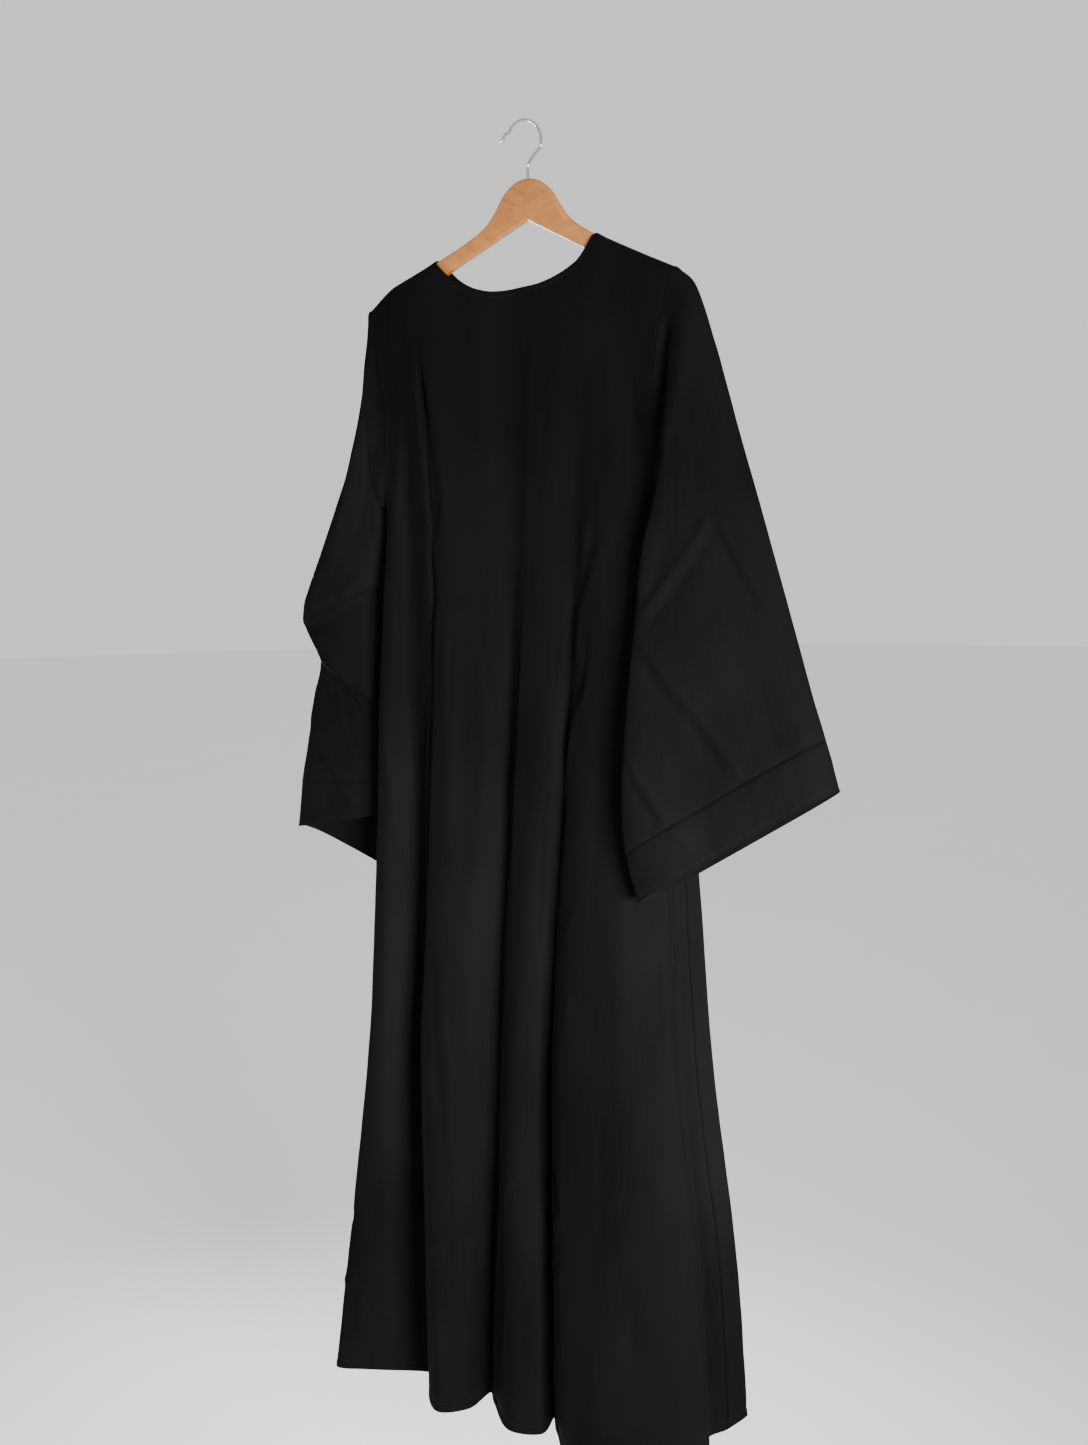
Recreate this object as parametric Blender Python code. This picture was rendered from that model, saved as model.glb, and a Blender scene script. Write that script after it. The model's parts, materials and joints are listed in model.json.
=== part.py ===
"""A black abaya on a wooden hanger with a chrome hook.

The origin is the inside top of the hook, where it is hung up. X runs to the right as
someone facing the garment sees it, Y runs to its back, and Z is up. The tables below are in
millimetres and MM turns them into metres. Every cloth piece is a mid-surface with a Solidify on it.
"""

import bisect
import math
from collections import namedtuple

import bmesh
import bpy
import numpy as np

MM = 0.001

# Cloth
CLOTH_WALL = 1.5
SEAM_GAP = 0.3
CUFF_GAP = 0.4
ARMHOLE_GAP = 0.5
SEAM_STRAIGHT = 2.5  # both sides of a seam run straight for at least this far
SEAM_SHARE = 0.2  # and for this share of the way to the next fold
SEAM_CLEAR = 0.4  # no other grid column stands nearer to the seam than this share
UNDERARM_GAP = 1.2  # where the four pieces meet under the arm

# Garment, as it hangs
GARMENT_CENTRE = -13.5  # it sits this far to one side on the hanger
FRONT_DEPTH = 9.0
BACK_DEPTH = 9.0
SHOULDER_ROUND = 9.0  # height over which the cloth turns over the hanger
NECK_LEFT = -139.7
NECK_RIGHT = 112.9
BACK_NECK_LOWER = 4.0
UNDERARM_Z = -475.0
ARMHOLE_ROUND = 55.0  # height over which the armhole closes towards the underarm
UNDERARM_TURN = 35.0  # height above the underarm over which the side turns to face sideways
UNDERARM_LIFT = 1.4  # the sleeve's underarm sits this much above the side seam's top
GROOVE_AT = 0.28  # the sleeve sinks into a groove at this share of the way from the armhole to its cap
GROOVE_ENDS = (0.14, 0.85)  # shares of the armhole's height between which the groove runs
NECK_STRIPS = (1.5, 4.2)  # grid columns inside each neck point, which take the neckline over the hanger
NECK_SPREAD = 14.0  # the shoulder seam opens and rises a little this near to the neck
NECK_LIFT = 0.6

# Hanger
HANGER_CENTRE = 8.5
HANGER_THICK = 12.0
HANGER_TOP_ROUND = 5.5
HANGER_LOW_ROUND = 3.0
HANGER_LENGTH = 219.0  # from the middle to one tip
HANGER_TIP_ROUND = 9.0
CREST_GAP = 0.35
BORE_CLEARANCE = 0.3

# Hook
WIRE = 3.6
HOOK_RADIUS = 27.0
HOOK_SINK = 26.0  # threaded length inside the wood
HOOK_BALL = 1.45  # end ball, times the wire's own thickness

# Heights at which the fold tables give each fold's place, above the hem
LEVELS = (-360.0, -600.0, -1150.0, -1400.0)

# A fold's crest or valley: (x, y) at the chest, the waist, the knee and the shin, and (x, y, z) at the hem
Fold = namedtuple("Fold", "name chest waist knee shin hem")

LEFT_SEAM = Fold("left seam", (-224, 0), (-233, 3), (-240, 8), (-260, 9), (-284, 10, -1642))
RIGHT_SEAM = Fold("right seam", (197, 0), (217, 5), (243, 14), (274, 18), (286, 20, -1616))

FRONT_FOLDS = (
    LEFT_SEAM,
    Fold("left corner", (-211, -11), (-237, -9), (-253, -34), (-278, -47), (-309, -61, -1663)),
    Fold("left belly", (-199, -13), (-218, -20), (-226, -38), (-239, -41), (-256, -43, -1661)),
    Fold("left valley", (-186, -12), (-182, -8), (-188, 0), (-185, -2), (-180, -5, -1659)),
    Fold("tuck side", (-168, -15), (-153, -15), (-170, -14), (-167, -15), (-160, -16, -1659)),
    Fold("tuck groove", (-159, -9), (-143, -13), (-157, -32), (-155, -36), (-150, -38, -1660)),
    Fold("ridge one", (-149, -15), (-134, -21), (-149, -46), (-147, -53), (-141, -58, -1661)),
    Fold("belly one", (-115, -14), (-100, -24), (-122, -60), (-117, -71), (-106, -80, -1666)),
    Fold("flank one", (-60, -12), (-52, -18), (-80, -44), (-80, -50), (-76, -54, -1663)),
    Fold("valley one", (-8, -11), (-14, -9), (-50, -4), (-64, -4), (-78, -4, -1659)),
    Fold("ridge two", (17, -14), (5, -19), (-26, -27), (-39, -27), (-53, -26, -1660)),
    Fold("belly two", (45, -13), (36, -24), (8, -46), (3, -53), (0, -60, -1669)),
    Fold("flank two", (70, -12), (66, -18), (34, -34), (34, -38), (40, -42, -1669)),
    Fold("valley two", (95, -11), (82, -12), (38, -8), (34, -9), (34, -10, -1661)),
    Fold("ridge three", (113, -13), (99, -21), (58, -31), (55, -33), (57, -34, -1664)),
    Fold("belly three", (131, -13), (132, -28), (105, -62), (109, -72), (118, -80, -1674)),
    Fold("flank three", (147, -12), (172, -25), (182, -60), (195, -73), (212, -86, -1672)),
    Fold("right edge", (162, -11), (205, -15), (238, -21), (271, -23), (287, -24, -1648)),
    Fold("right valley", (177, -9), (213, -5), (226, 1), (252, 3), (266, 4, -1628)),
    RIGHT_SEAM,
)

BACK_FOLDS = (
    LEFT_SEAM,
    Fold("back left corner", (-208, 9), (-234, 13), (-245, 27), (-266, 34), (-292, 40, -1648)),
    Fold("back valley one", (-190, 9), (-210, 10), (-222, 11), (-238, 12), (-256, 13, -1646)),
    Fold("back crest one", (-160, 9), (-180, 15), (-198, 31), (-210, 37), (-224, 42, -1650)),
    Fold("back valley two", (-130, 9), (-147, 10), (-162, 9), (-171, 9), (-180, 10, -1646)),
    Fold("back crest two", (-98, 9), (-110, 16), (-122, 33), (-129, 39), (-136, 44, -1651)),
    Fold("back valley three", (-68, 9), (-78, 11), (-86, 10), (-91, 10), (-97, 9, -1646)),
    Fold("back crest three", (-38, 9), (-44, 17), (-48, 35), (-50, 40), (-53, 43, -1650)),
    Fold("back valley four", (-8, 9), (-10, 11), (-10, 9), (-10, 8), (-10, 8, -1645)),
    Fold("back crest four", (22, 9), (26, 16), (31, 32), (33, 38), (36, 44, -1648)),
    Fold("back valley five", (52, 9), (60, 11), (69, 10), (74, 10), (80, 10, -1642)),
    Fold("back crest five", (84, 9), (96, 15), (110, 34), (118, 39), (126, 43, -1643)),
    Fold("back valley six", (114, 9), (130, 10), (148, 9), (159, 10), (170, 11, -1636)),
    Fold("back crest six", (138, 9), (164, 15), (188, 31), (202, 36), (216, 41, -1634)),
    Fold("back valley seven", (158, 9), (192, 10), (226, 12), (246, 14), (264, 15, -1616)),
    Fold("back right corner", (175, 9), (220, 13), (260, 27), (289, 36), (302, 39, -1600)),
    RIGHT_SEAM,
)

# Armhole: half the garment's width at each share of its height, from the shoulder point down
ARMHOLE_SHARES = (0.0, 0.12, 0.25, 0.45, 0.65, 0.82, 0.93, 1.0)
ARMHOLE_HALVES = (238.8, 229.0, 219.5, 212.0, 209.5, 211.0, 215.5, 221.0)

# Neckline of the front, from the left neck point to the right one
NECKLINE_X = (-139.7, -113.2, -87.8, -55.2, -30.0, -4.9, 40.7, 85.4, 104.0, 112.9)
NECKLINE_Z = (-160.0, -181.7, -193.0, -201.5, -203.0, -201.1, -193.8, -174.7, -156.0, -142.2)

# Hanger: height of its crest and of its lower edge by distance from its middle
CREST_AT = (0.0, 12.0, 22.0, 31.0, 39.0, 48.5, 61.0, 78.0, 106.0, 140.0, 180.0, 205.0, 219.0)
CREST_Z = (-69.0, -70.5, -75.0, -81.5, -90.0, -103.5, -118.0, -130.0, -144.0, -158.3, -174.4,
           -184.0, -189.5)
LOWER_EDGE_Z = -118.7
LOWER_EDGE_SLOPE = 0.447

# Where the cloth falls past the left tip of the hanger
PAST_TIP_X = (-253.0, -240.0, -226.0, -214.0, -205.0)
PAST_TIP_Z = (-218.5, -208.5, -198.0, -190.2, -186.2)

# Hook: centre line of the wire from the wood up to the round part, and its flared end
HOOK_STEM = ((8.5, -66.0), (8.5, -56.0), (10.2, -50.5), (19.0, -41.0))
HOOK_ROUND_FROM, HOOK_ROUND_TO = -18.0, 152.0  # degrees on its circle
HOOK_FLARE = ((-26.0, -13.0), (-30.0, -18.5))

# A sleeve's cross section: its outer fold and its inner fold as (x, y, z), how far the front and the
# back layer stand off the line between them, the share of its width over which the front one does,
# and how far each layer's edge is pushed up or down
Ring = namedtuple("Ring", "name outer inner front back front_reach front_rise back_rise")

RIGHT_SLEEVE = (
    Ring("cap", (252, 0, -206), (219, -19, -458), 15, 12, 1, 0, 0),
    Ring("upper arm", (281, 2, -280), (209, -38, -532), 18, 13, 1, 0, 0),
    Ring("above elbow", (315, 4, -388), (203, -52, -628), 22, 15, 1, 0, 0),
    Ring("elbow", (349, 7, -495), (200, -62, -710), 25, 17, 1, 0, 0),
    Ring("below elbow", (382, 10, -602), (198, -69, -789), 27, 19, 1, 0, 0),
    Ring("forearm", (408, 12, -686), (199, -71, -845), 28, 20, 1, 0, 0),
    Ring("band seam", (424, 14, -735), (203, -70, -880), 28, 21, 1, 0, 0),
    Ring("cuff edge", (442, 15, -793), (217, -65, -939), 28, 22, 1, 0, 0),
)

LEFT_SLEEVE = (
    Ring("cap", (-261, -1, -262), (-253, 6, -470), 13, 10, 1, 0, 0),
    Ring("upper arm", (-268, -2, -335), (-250, 19, -502), 16, 11, 1, 0, 0),
    Ring("above elbow", (-300, -5, -438), (-248, 26, -526), 20, 11, 1, 0, 0),
    Ring("pouch", (-352, -9, -560), (-244, 29, -548), 28, 12, 0.9, 0, 0),
    Ring("pouch lip", (-373, -14, -628), (-242, 31, -566), 28, 13, 0.85, 0, 0),
    Ring("slit", (-375, -13, -640), (-238, 33, -584), 13, 13, 0.8, 18, 0),
    Ring("flap", (-366, -9, -656), (-232, 37, -640), 19, 13, 0.75, 0, 0),
    Ring("flap edge", (-354, -5, -671), (-224, 42, -770), 24, 12, 0.7, 0, 0),
    Ring("under flap", (-356, -4, -682), (-222, 43, -784), 17, 12, 0.7, 6, 0),
    Ring("forearm", (-377, -4, -775), (-206, 47, -832), 22, 12, 0.7, 34, -12),
    Ring("band seam", (-394, -5, -852), (-190, 50, -900), 26, 13, 0.7, 62, -26),
    Ring("cuff edge", (-403, -5, -916), (-184, 52, -966), 27, 14, 0.7, 92, -50),
)
GROOVES = {-1: 0.3, 1: 0.75}  # how deep the groove beside each armhole is

# Grid rows: angles over the hanger's crest, shares of the way to the underarm and rows to the hem
CREST_ANGLES = (0.0, 8.0, 30.0, 58.0, 90.0)
ARMHOLE_ROWS = (0.16, 0.36, 0.56, 0.75, 0.89, 1.0)
SKIRT_ROWS = 10
FRONT_COLUMN = 27.0  # most width of a grid column at the hem
BACK_COLUMN = 30.0
SLEEVE_STEP = 48.0  # most length of a sleeve's grid row


def clamp(value, low=0.0, high=1.0):
    return min(max(value, low), high)


def ease(value):
    value = clamp(value)
    return value * value * (3.0 - 2.0 * value)


def dome(share):
    """A quarter circle that rises from 0 to 1 as share goes from 0 to 1."""
    return math.sqrt(1.0 - (1.0 - clamp(share)) ** 2)


def smooth(knots, values, place):
    """Value at place on a smooth curve through the values, which stand at rising knots."""
    place = clamp(place, knots[0], knots[-1])
    i = min(bisect.bisect_right(knots, place), len(knots) - 1) - 1

    def slope(k):
        low, high = max(k - 1, 0), min(k + 1, len(knots) - 1)
        return (values[high] - values[low]) / (knots[high] - knots[low])

    step = knots[i + 1] - knots[i]
    t = (place - knots[i]) / step
    start = (1.0 + 2.0 * t) * (1.0 - t) ** 2 * values[i] + t * t * (3.0 - 2.0 * t) * values[i + 1]
    return start + t * (1.0 - t) * step * ((1.0 - t) * slope(i) - t * slope(i + 1))


def through(points, segment, share):
    """Point on a centripetal curve through the points, at this share of one of its segments."""
    before, start, end, after = points[segment : segment + 4]
    reach = [max(np.linalg.norm(b - a), 1e-6) ** 0.5 for a, b in ((before, start), (start, end), (end, after))]
    k0, k1 = 0.0, reach[0]
    k2 = k1 + reach[1]
    k3 = k2 + reach[2]
    k = k1 + share * (k2 - k1)
    a1 = before + (start - before) * (k - k0) / (k1 - k0)
    a2 = start + (end - start) * (k - k1) / (k2 - k1)
    a3 = end + (after - end) * (k - k2) / (k3 - k2)
    b1 = a1 + (a2 - a1) * (k - k0) / (k2 - k0)
    b2 = a2 + (a3 - a2) * (k - k1) / (k3 - k1)
    return b1 + (b2 - b1) * (k - k1) / (k2 - k1)


def fold_at(fold, z):
    """Where a fold lies at height z, as (x, y)."""
    knots = [-level for level in (*LEVELS, fold.hem[2])]
    places = [np.array(place[:2], float) for place in fold[1:]]
    return smooth(knots, places, -z)


def crest_z(offset):
    return smooth(CREST_AT, CREST_Z, abs(offset))


def near_neck(x):
    """1 at a neck point, 0 away from it."""
    return ease(1.0 - min(abs(x - NECK_LEFT), abs(x - NECK_RIGHT)) / NECK_SPREAD)


def shoulder_z(x):
    """Height of the cloth's ridge over the hanger, which the shoulder seam follows."""
    if x < PAST_TIP_X[-1]:
        return smooth(PAST_TIP_X, PAST_TIP_Z, x)
    lift = NECK_LIFT * near_neck(x)
    return crest_z(x - HANGER_CENTRE) + CREST_GAP + CLOTH_WALL / 2 + lift


def top_z(x, lower):
    """Top edge of a body panel: the shoulder seam, or the neckline between the neck points."""
    if x <= NECK_LEFT or x >= NECK_RIGHT:
        return shoulder_z(x)
    across = (x - NECK_LEFT) / (NECK_RIGHT - NECK_LEFT)
    return smooth(NECKLINE_X, NECKLINE_Z, x) - lower * math.sin(math.pi * across) ** 0.5


def shoulder_point(side):
    """The armhole's top, as (x, z)."""
    x = GARMENT_CENTRE + side * ARMHOLE_HALVES[0]
    return x, shoulder_z(x)


def edge_x(side, z):
    """The body's edge: the armhole, and the side seam below the underarm."""
    if z > UNDERARM_Z:
        top = shoulder_point(side)[1]
        share = clamp((top - z) / (top - UNDERARM_Z))
        return GARMENT_CENTRE + side * smooth(ARMHOLE_SHARES, ARMHOLE_HALVES, share)
    seam = LEFT_SEAM if side < 0 else RIGHT_SEAM
    underarm = GARMENT_CENTRE + side * ARMHOLE_HALVES[-1]
    waist_x = seam.waist[0]
    if z > LEVELS[1]:
        return underarm + (waist_x - underarm) * ease((UNDERARM_Z - z) / (UNDERARM_Z - LEVELS[1]))
    return fold_at(seam, z)[0]


def gape(z):
    """Half the armhole's opening at height z, without the turn over the shoulder."""
    return FRONT_DEPTH * dome((z - UNDERARM_Z) / ARMHOLE_ROUND)


def controls_at(folds, facing, z):
    """The section's control points at height z, from the left edge to the right one."""
    chest = LEVELS[0]
    depth = FRONT_DEPTH if facing < 0 else BACK_DEPTH
    left_edge, right_edge = edge_x(-1, z), edge_x(1, z)
    first, last = folds[0].chest[0], folds[-1].chest[0]
    points = []
    for fold in folds:
        if z <= chest:
            point = fold_at(fold, z)
        else:
            x, y = fold.chest
            across = (x - first) / (last - first)
            flat = ease((z - chest) / 130.0)
            point = np.array((left_edge + across * (right_edge - left_edge), y + (facing * depth - y) * flat))
        points.append(point)
    points[0] = np.array((left_edge, points[0][1] if z < UNDERARM_Z else 0.0))
    points[-1] = np.array((right_edge, points[-1][1] if z < UNDERARM_Z else 0.0))
    if z > UNDERARM_Z:
        points[0][1] = facing * gape(z)
        points[-1][1] = facing * gape(z)
    return points


def section(folds, facing, z):
    """The control points with one more at each end, which sets how the section meets its seams."""
    own = controls_at(folds, facing, z)
    other = controls_at(BACK_FOLDS if facing < 0 else FRONT_FOLDS, -facing, z)
    turned = ease((UNDERARM_Z + UNDERARM_TURN - z) / UNDERARM_TURN)
    ends = []
    for edge, neighbour, sign in ((own[0], other[1], -1), (own[-1], other[-2], 1)):
        straight = edge + np.array((sign * 8.0, 0.0))
        ends.append(straight + (neighbour - straight) * turned)
    return [ends[0], *own, ends[1]]


def panel_point(folds, facing, segment, share, z):
    """Point of a body panel in millimetres, without the turn over the shoulder."""
    x, y = through(section(folds, facing, z), segment, share)
    return np.array((x, y, z))


def seam_direction(folds, facing, z, left):
    """Unit vector in the section that leads from a seam into its panel."""
    segment, near, far = (0, 0.0, 0.03) if left else (len(folds) - 2, 1.0, 0.97)
    start = panel_point(folds, facing, segment, near, z)
    step = panel_point(folds, facing, segment, far, z) - start
    return step / np.linalg.norm(step)


def hem_place(folds, place):
    """The hem's (x, y, z) at a (segment, share) of a panel."""
    points = [np.array(fold.hem, float) for fold in folds]
    points = [2 * points[0] - points[1], *points, 2 * points[-1] - points[-2]]
    return through(points, *place)


def column_places(folds, most_width):
    """(segment, share) of each grid column, closer together where the hem has more cloth."""
    places = []
    for segment in range(len(folds) - 1):
        length = math.dist(folds[segment].hem, folds[segment + 1].hem)
        count = max(1, math.ceil(length / most_width))
        shares = [k / count for k in range(count)]
        if segment == 0:
            shares = [share for share in shares if share == 0.0 or share > SEAM_CLEAR]
        if segment == len(folds) - 2:
            shares = [share for share in shares if share < 1.0 - SEAM_CLEAR]
        places += [(segment, share) for share in shares]
    places.append((len(folds) - 2, 1.0))
    return places


def place_at(folds, facing, x, z, low, high):
    """The (segment, share) between two running counts at which the panel passes x at height z."""
    for _ in range(30):
        middle = (low + high) / 2
        segment = min(int(middle), len(folds) - 2)
        if panel_point(folds, facing, segment, middle - segment, z)[0] < x:
            low = middle
        else:
            high = middle
    return segment, middle - segment


def with_neck_columns(folds, facing, places):
    """The places, with a column moved onto each neck point and one more added just inside it."""
    for neck, inward in ((NECK_RIGHT, -1), (NECK_LEFT, 1)):
        z = shoulder_z(neck)
        xs = [panel_point(folds, facing, *place, z)[0] for place in places]
        nearest = min(range(2, len(places) - 2), key=lambda k: abs(xs[k] - neck))
        low, high = sum(places[nearest - 1]), sum(places[nearest + 1])
        places[nearest] = place_at(folds, facing, neck, z, low, high)
        strips = [place_at(folds, facing, neck + inward * strip, z, low, high) for strip in NECK_STRIPS]
        start = nearest + (1 if inward > 0 else 0)
        places[start:start] = strips if inward > 0 else strips[::-1]
    return places


def column_heights(folds, facing, place, lower):
    """Heights of a column's grid points, from its top edge to the hem."""
    top = -200.0
    for _ in range(6):
        top = top_z(panel_point(folds, facing, *place, top)[0], lower)
    heights = [top - SHOULDER_ROUND * (1.0 - math.cos(math.radians(a))) for a in CREST_ANGLES]
    turned = heights[-1]
    heights += [turned + (UNDERARM_Z - turned) * share for share in ARMHOLE_ROWS]
    low = hem_place(folds, place)[2]
    heights += [UNDERARM_Z + (low - UNDERARM_Z) * (k + 1) / SKIRT_ROWS for k in range(SKIRT_ROWS)]
    return heights


def shoulder_gap(x):
    """Gap of the shoulder seam, a little wider by the neck."""
    return SEAM_GAP * (1.0 + 1.6 * near_neck(x))


def seam_gap(z):
    """Gap between a panel's edge and the line of its seam, doubled."""
    if abs(z - UNDERARM_Z) < 1.0:
        return UNDERARM_GAP
    return 0.0 if z > UNDERARM_Z else SEAM_GAP


def seam_reach(folds, facing, z, left):
    """How far a panel runs straight from its seam at height z."""
    points = controls_at(folds, facing, z)
    edge, fold = (points[0], points[1]) if left else (points[-1], points[-2])
    return max(SEAM_STRAIGHT, SEAM_SHARE * np.linalg.norm(fold - edge))


def panel_grid(folds, facing, most_width, lower):
    """The panel's points in millimetres, a list for each row, from its left seam to its right one."""
    places = with_neck_columns(folds, facing, column_places(folds, most_width))
    columns = []
    for place in places:
        column = []
        for z in column_heights(folds, facing, place, lower):
            point = panel_point(folds, facing, *place, z)
            point[1] *= dome((shoulder_z(point[0]) - z) / SHOULDER_ROUND)
            if z > UNDERARM_Z:
                point[1] = facing * max(facing * point[1], shoulder_gap(point[0]) / 2)
            column.append(point)
        columns.append(column)
    for left in (True, False):
        edge = 0 if left else -1
        extra = []
        for k, point in enumerate(columns[edge]):
            inward = seam_direction(folds, facing, point[2], left)
            gap = seam_gap(point[2]) / 2
            start = point.copy()
            columns[edge][k] = start + inward * gap
            beside = start + inward * seam_reach(folds, facing, point[2], left)
            if point[2] > UNDERARM_Z:
                top = columns[edge][0][2]
                fall = clamp((point[2] - UNDERARM_Z) / (top - UNDERARM_Z))
                beside[2] += (shoulder_z(beside[0]) - shoulder_z(start[0])) * fall
            extra.append(beside)
        columns.insert(1 if left else len(columns) - 1, extra)
    return [list(row) for row in zip(*columns)]


def body_panel(folds, facing, most_width, lower):
    return panel_grid(folds, facing, most_width, lower)


def armhole_shares(side):
    """Heights at which a panel's edge has its grid points, as shares of the armhole's height."""
    top = shoulder_point(side)[1]
    turned = top - SHOULDER_ROUND
    heights = [top - SHOULDER_ROUND * (1.0 - math.cos(math.radians(a))) for a in CREST_ANGLES]
    heights += [turned + (UNDERARM_Z - turned) * share for share in ARMHOLE_ROWS]
    return [(top - z) / (top - UNDERARM_Z) for z in heights]


def armhole_point(side, facing, share, out):
    """Point on the armhole's edge, moved out from the panel by this much, in the panel's own direction."""
    top = shoulder_point(side)[1]
    z = top + (UNDERARM_Z - top) * share
    folds = FRONT_FOLDS if facing < 0 else BACK_FOLDS
    outward = -seam_direction(folds, facing, z, side < 0)
    if share in (0.0, 1.0):
        outward = np.array((side, 0.0, 0.0))
    turn = dome((top - z) / SHOULDER_ROUND)
    point = np.array((edge_x(side, z), facing * gape(z) * turn, max(z, UNDERARM_Z + UNDERARM_LIFT)))
    return point + outward * (out + UNDERARM_LIFT * ease((share - 0.9) / 0.1))


def armhole_ring(side, out):
    """Points round the armhole, moved out by this much: the front from the shoulder down, then the back."""
    shares = armhole_shares(side)
    loop = [armhole_point(side, -1, share, out) for share in shares]
    return loop + [armhole_point(side, 1, share, out) for share in shares[-2:0:-1]]


def groove_ring(armhole, cap, shares, depth):
    """A ring between the armhole and the sleeve's cap, its front sunk by a share of what it stands off."""
    loop = [start + (end - start) * GROOVE_AT for start, end in zip(armhole, cap)]
    for point, share in zip(loop, shares[:-1]):
        start, end = GROOVE_ENDS
        point[1] *= 1.0 - depth * ease((share - start) / 0.12) * ease((end - share) / 0.25)
    return loop


def layer_offset(share, reach):
    """How far a sleeve's layer stands off, 1 in the middle of its reach and little past it."""
    bulge = math.sqrt(1.0 - abs(2.0 * clamp(share / reach) - 1.0) ** 4)
    flat = 0.16 * math.sqrt(1.0 - share) if share > reach / 2 else 0.0
    return max(bulge, flat)


def layer_push(share):
    """How much of a ring's rise a layer has at this share of its width."""
    return share * (1.0 - ease((share - 0.82) / 0.18))


def sleeve_ring(ring, shares):
    """Points round one ring of a sleeve: the front layer from its outer fold in, then the back one."""
    outer, inner = np.array(ring.outer, float), np.array(ring.inner, float)
    loop = []
    for facing, off, reach, rise, steps in (
        (-1, ring.front, ring.front_reach, ring.front_rise, shares),
        (1, ring.back, 1.0, ring.back_rise, shares[-2:0:-1]),
    ):
        for share in steps:
            point = outer + (inner - outer) * share
            point[1] += facing * off * layer_offset(share, reach)
            point[2] += rise * layer_push(share)
            loop.append(point)
    return loop


def sleeve_rings(side, table):
    """Grid rows of a whole sleeve with its cuff, and the row at which the cuff starts."""
    shares = armhole_shares(side)
    stations = [armhole_ring(side, ARMHOLE_GAP), armhole_ring(side, ARMHOLE_GAP + SEAM_STRAIGHT)]
    rings = [sleeve_ring(ring, shares) for ring in table]
    stations += [groove_ring(stations[1], rings[0], shares, GROOVES[side]), *rings]
    names = ["armhole", "armhole edge", "groove"] + [ring.name for ring in table]
    first = [2 * a - b for a, b in zip(stations[0], stations[1])]
    last = [2 * a - b for a, b in zip(stations[-1], stations[-2])]
    path = [first, *stations, last]
    rows, cuff_row = [], 0
    for k in range(len(stations) - 1):
        longest = max(np.linalg.norm(b - a) for a, b in zip(stations[k], stations[k + 1]))
        count = 1 if k == 0 else max(1, math.ceil(longest / SLEEVE_STEP))
        if names[k] == "band seam":
            cuff_row = len(rows)
        for step in range(count):
            rows.append([through(line, k, step / count) for line in zip(*path)])
    rows.append(stations[-1])
    return rows, cuff_row


def nudged(row, towards):
    """The row moved half a cuff gap towards another row."""
    moved = []
    for point, other in zip(row, towards):
        step = other - point
        moved.append(point + step / np.linalg.norm(step) * CUFF_GAP / 2)
    return moved


def material(name, colour, roughness, metallic=0.0):
    made = bpy.data.materials.new(name)
    made.use_nodes = True
    shader = made.node_tree.nodes["Principled BSDF"]
    shader.inputs["Base Color"].default_value = (*colour, 1.0)
    shader.inputs["Roughness"].default_value = roughness
    shader.inputs["Metallic"].default_value = metallic
    made.diffuse_color = (*colour, 1.0)
    return made


def add_object(name, mesh, finish, parent):
    made = bpy.data.objects.new(name, mesh)
    bpy.context.scene.collection.objects.link(made)
    mesh.materials.append(finish)
    made.parent = parent
    return made


def grid_mesh(name, rows, closed):
    """A mesh with one point for each place in the rows; a closed one joins its last column to its first."""
    across = len(rows[0]) + (1 if closed else 0)
    shape = bmesh.new()
    bmesh.ops.create_grid(shape, x_segments=across - 1, y_segments=len(rows) - 1, size=1.0)
    shape.verts.ensure_lookup_table()
    for index, vertex in enumerate(shape.verts):
        row, column = divmod(index, across)
        vertex.co = rows[row][column % len(rows[row])] * MM
    if closed:
        bmesh.ops.remove_doubles(shape, verts=shape.verts, dist=1e-7)
    mesh = bpy.data.meshes.new(name)
    shape.to_mesh(mesh)
    shape.free()
    return mesh


def cloth_piece(name, rows, finish, parent, closed=False):
    """A wall of cloth on both sides of the points in the rows."""
    mesh = grid_mesh(name, rows, closed)
    mesh.shade_smooth()
    piece = add_object(name, mesh, finish, parent)
    wall = piece.modifiers.new("Cloth wall", "SOLIDIFY")
    wall.thickness = CLOTH_WALL * MM
    wall.offset = 0.0
    wall.use_quality_normals = True
    return piece


def build_body(finish, parent):
    cloth_piece("front_panel", body_panel(FRONT_FOLDS, -1, FRONT_COLUMN, 0.0), finish, parent)
    cloth_piece("back_panel", body_panel(BACK_FOLDS, 1, BACK_COLUMN, BACK_NECK_LOWER), finish, parent)


def build_sleeve(side, word, table, finish, parent):
    rows, cuff_row = sleeve_rings(side, table)
    upper = rows[:cuff_row] + [nudged(rows[cuff_row], rows[cuff_row - 1])]
    band = [nudged(rows[cuff_row], rows[cuff_row + 1])] + rows[cuff_row + 1 :]
    cloth_piece("sleeve_" + word, upper, finish, parent, closed=True)
    cloth_piece("cuff_band_" + word, band, finish, parent, closed=True)


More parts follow.
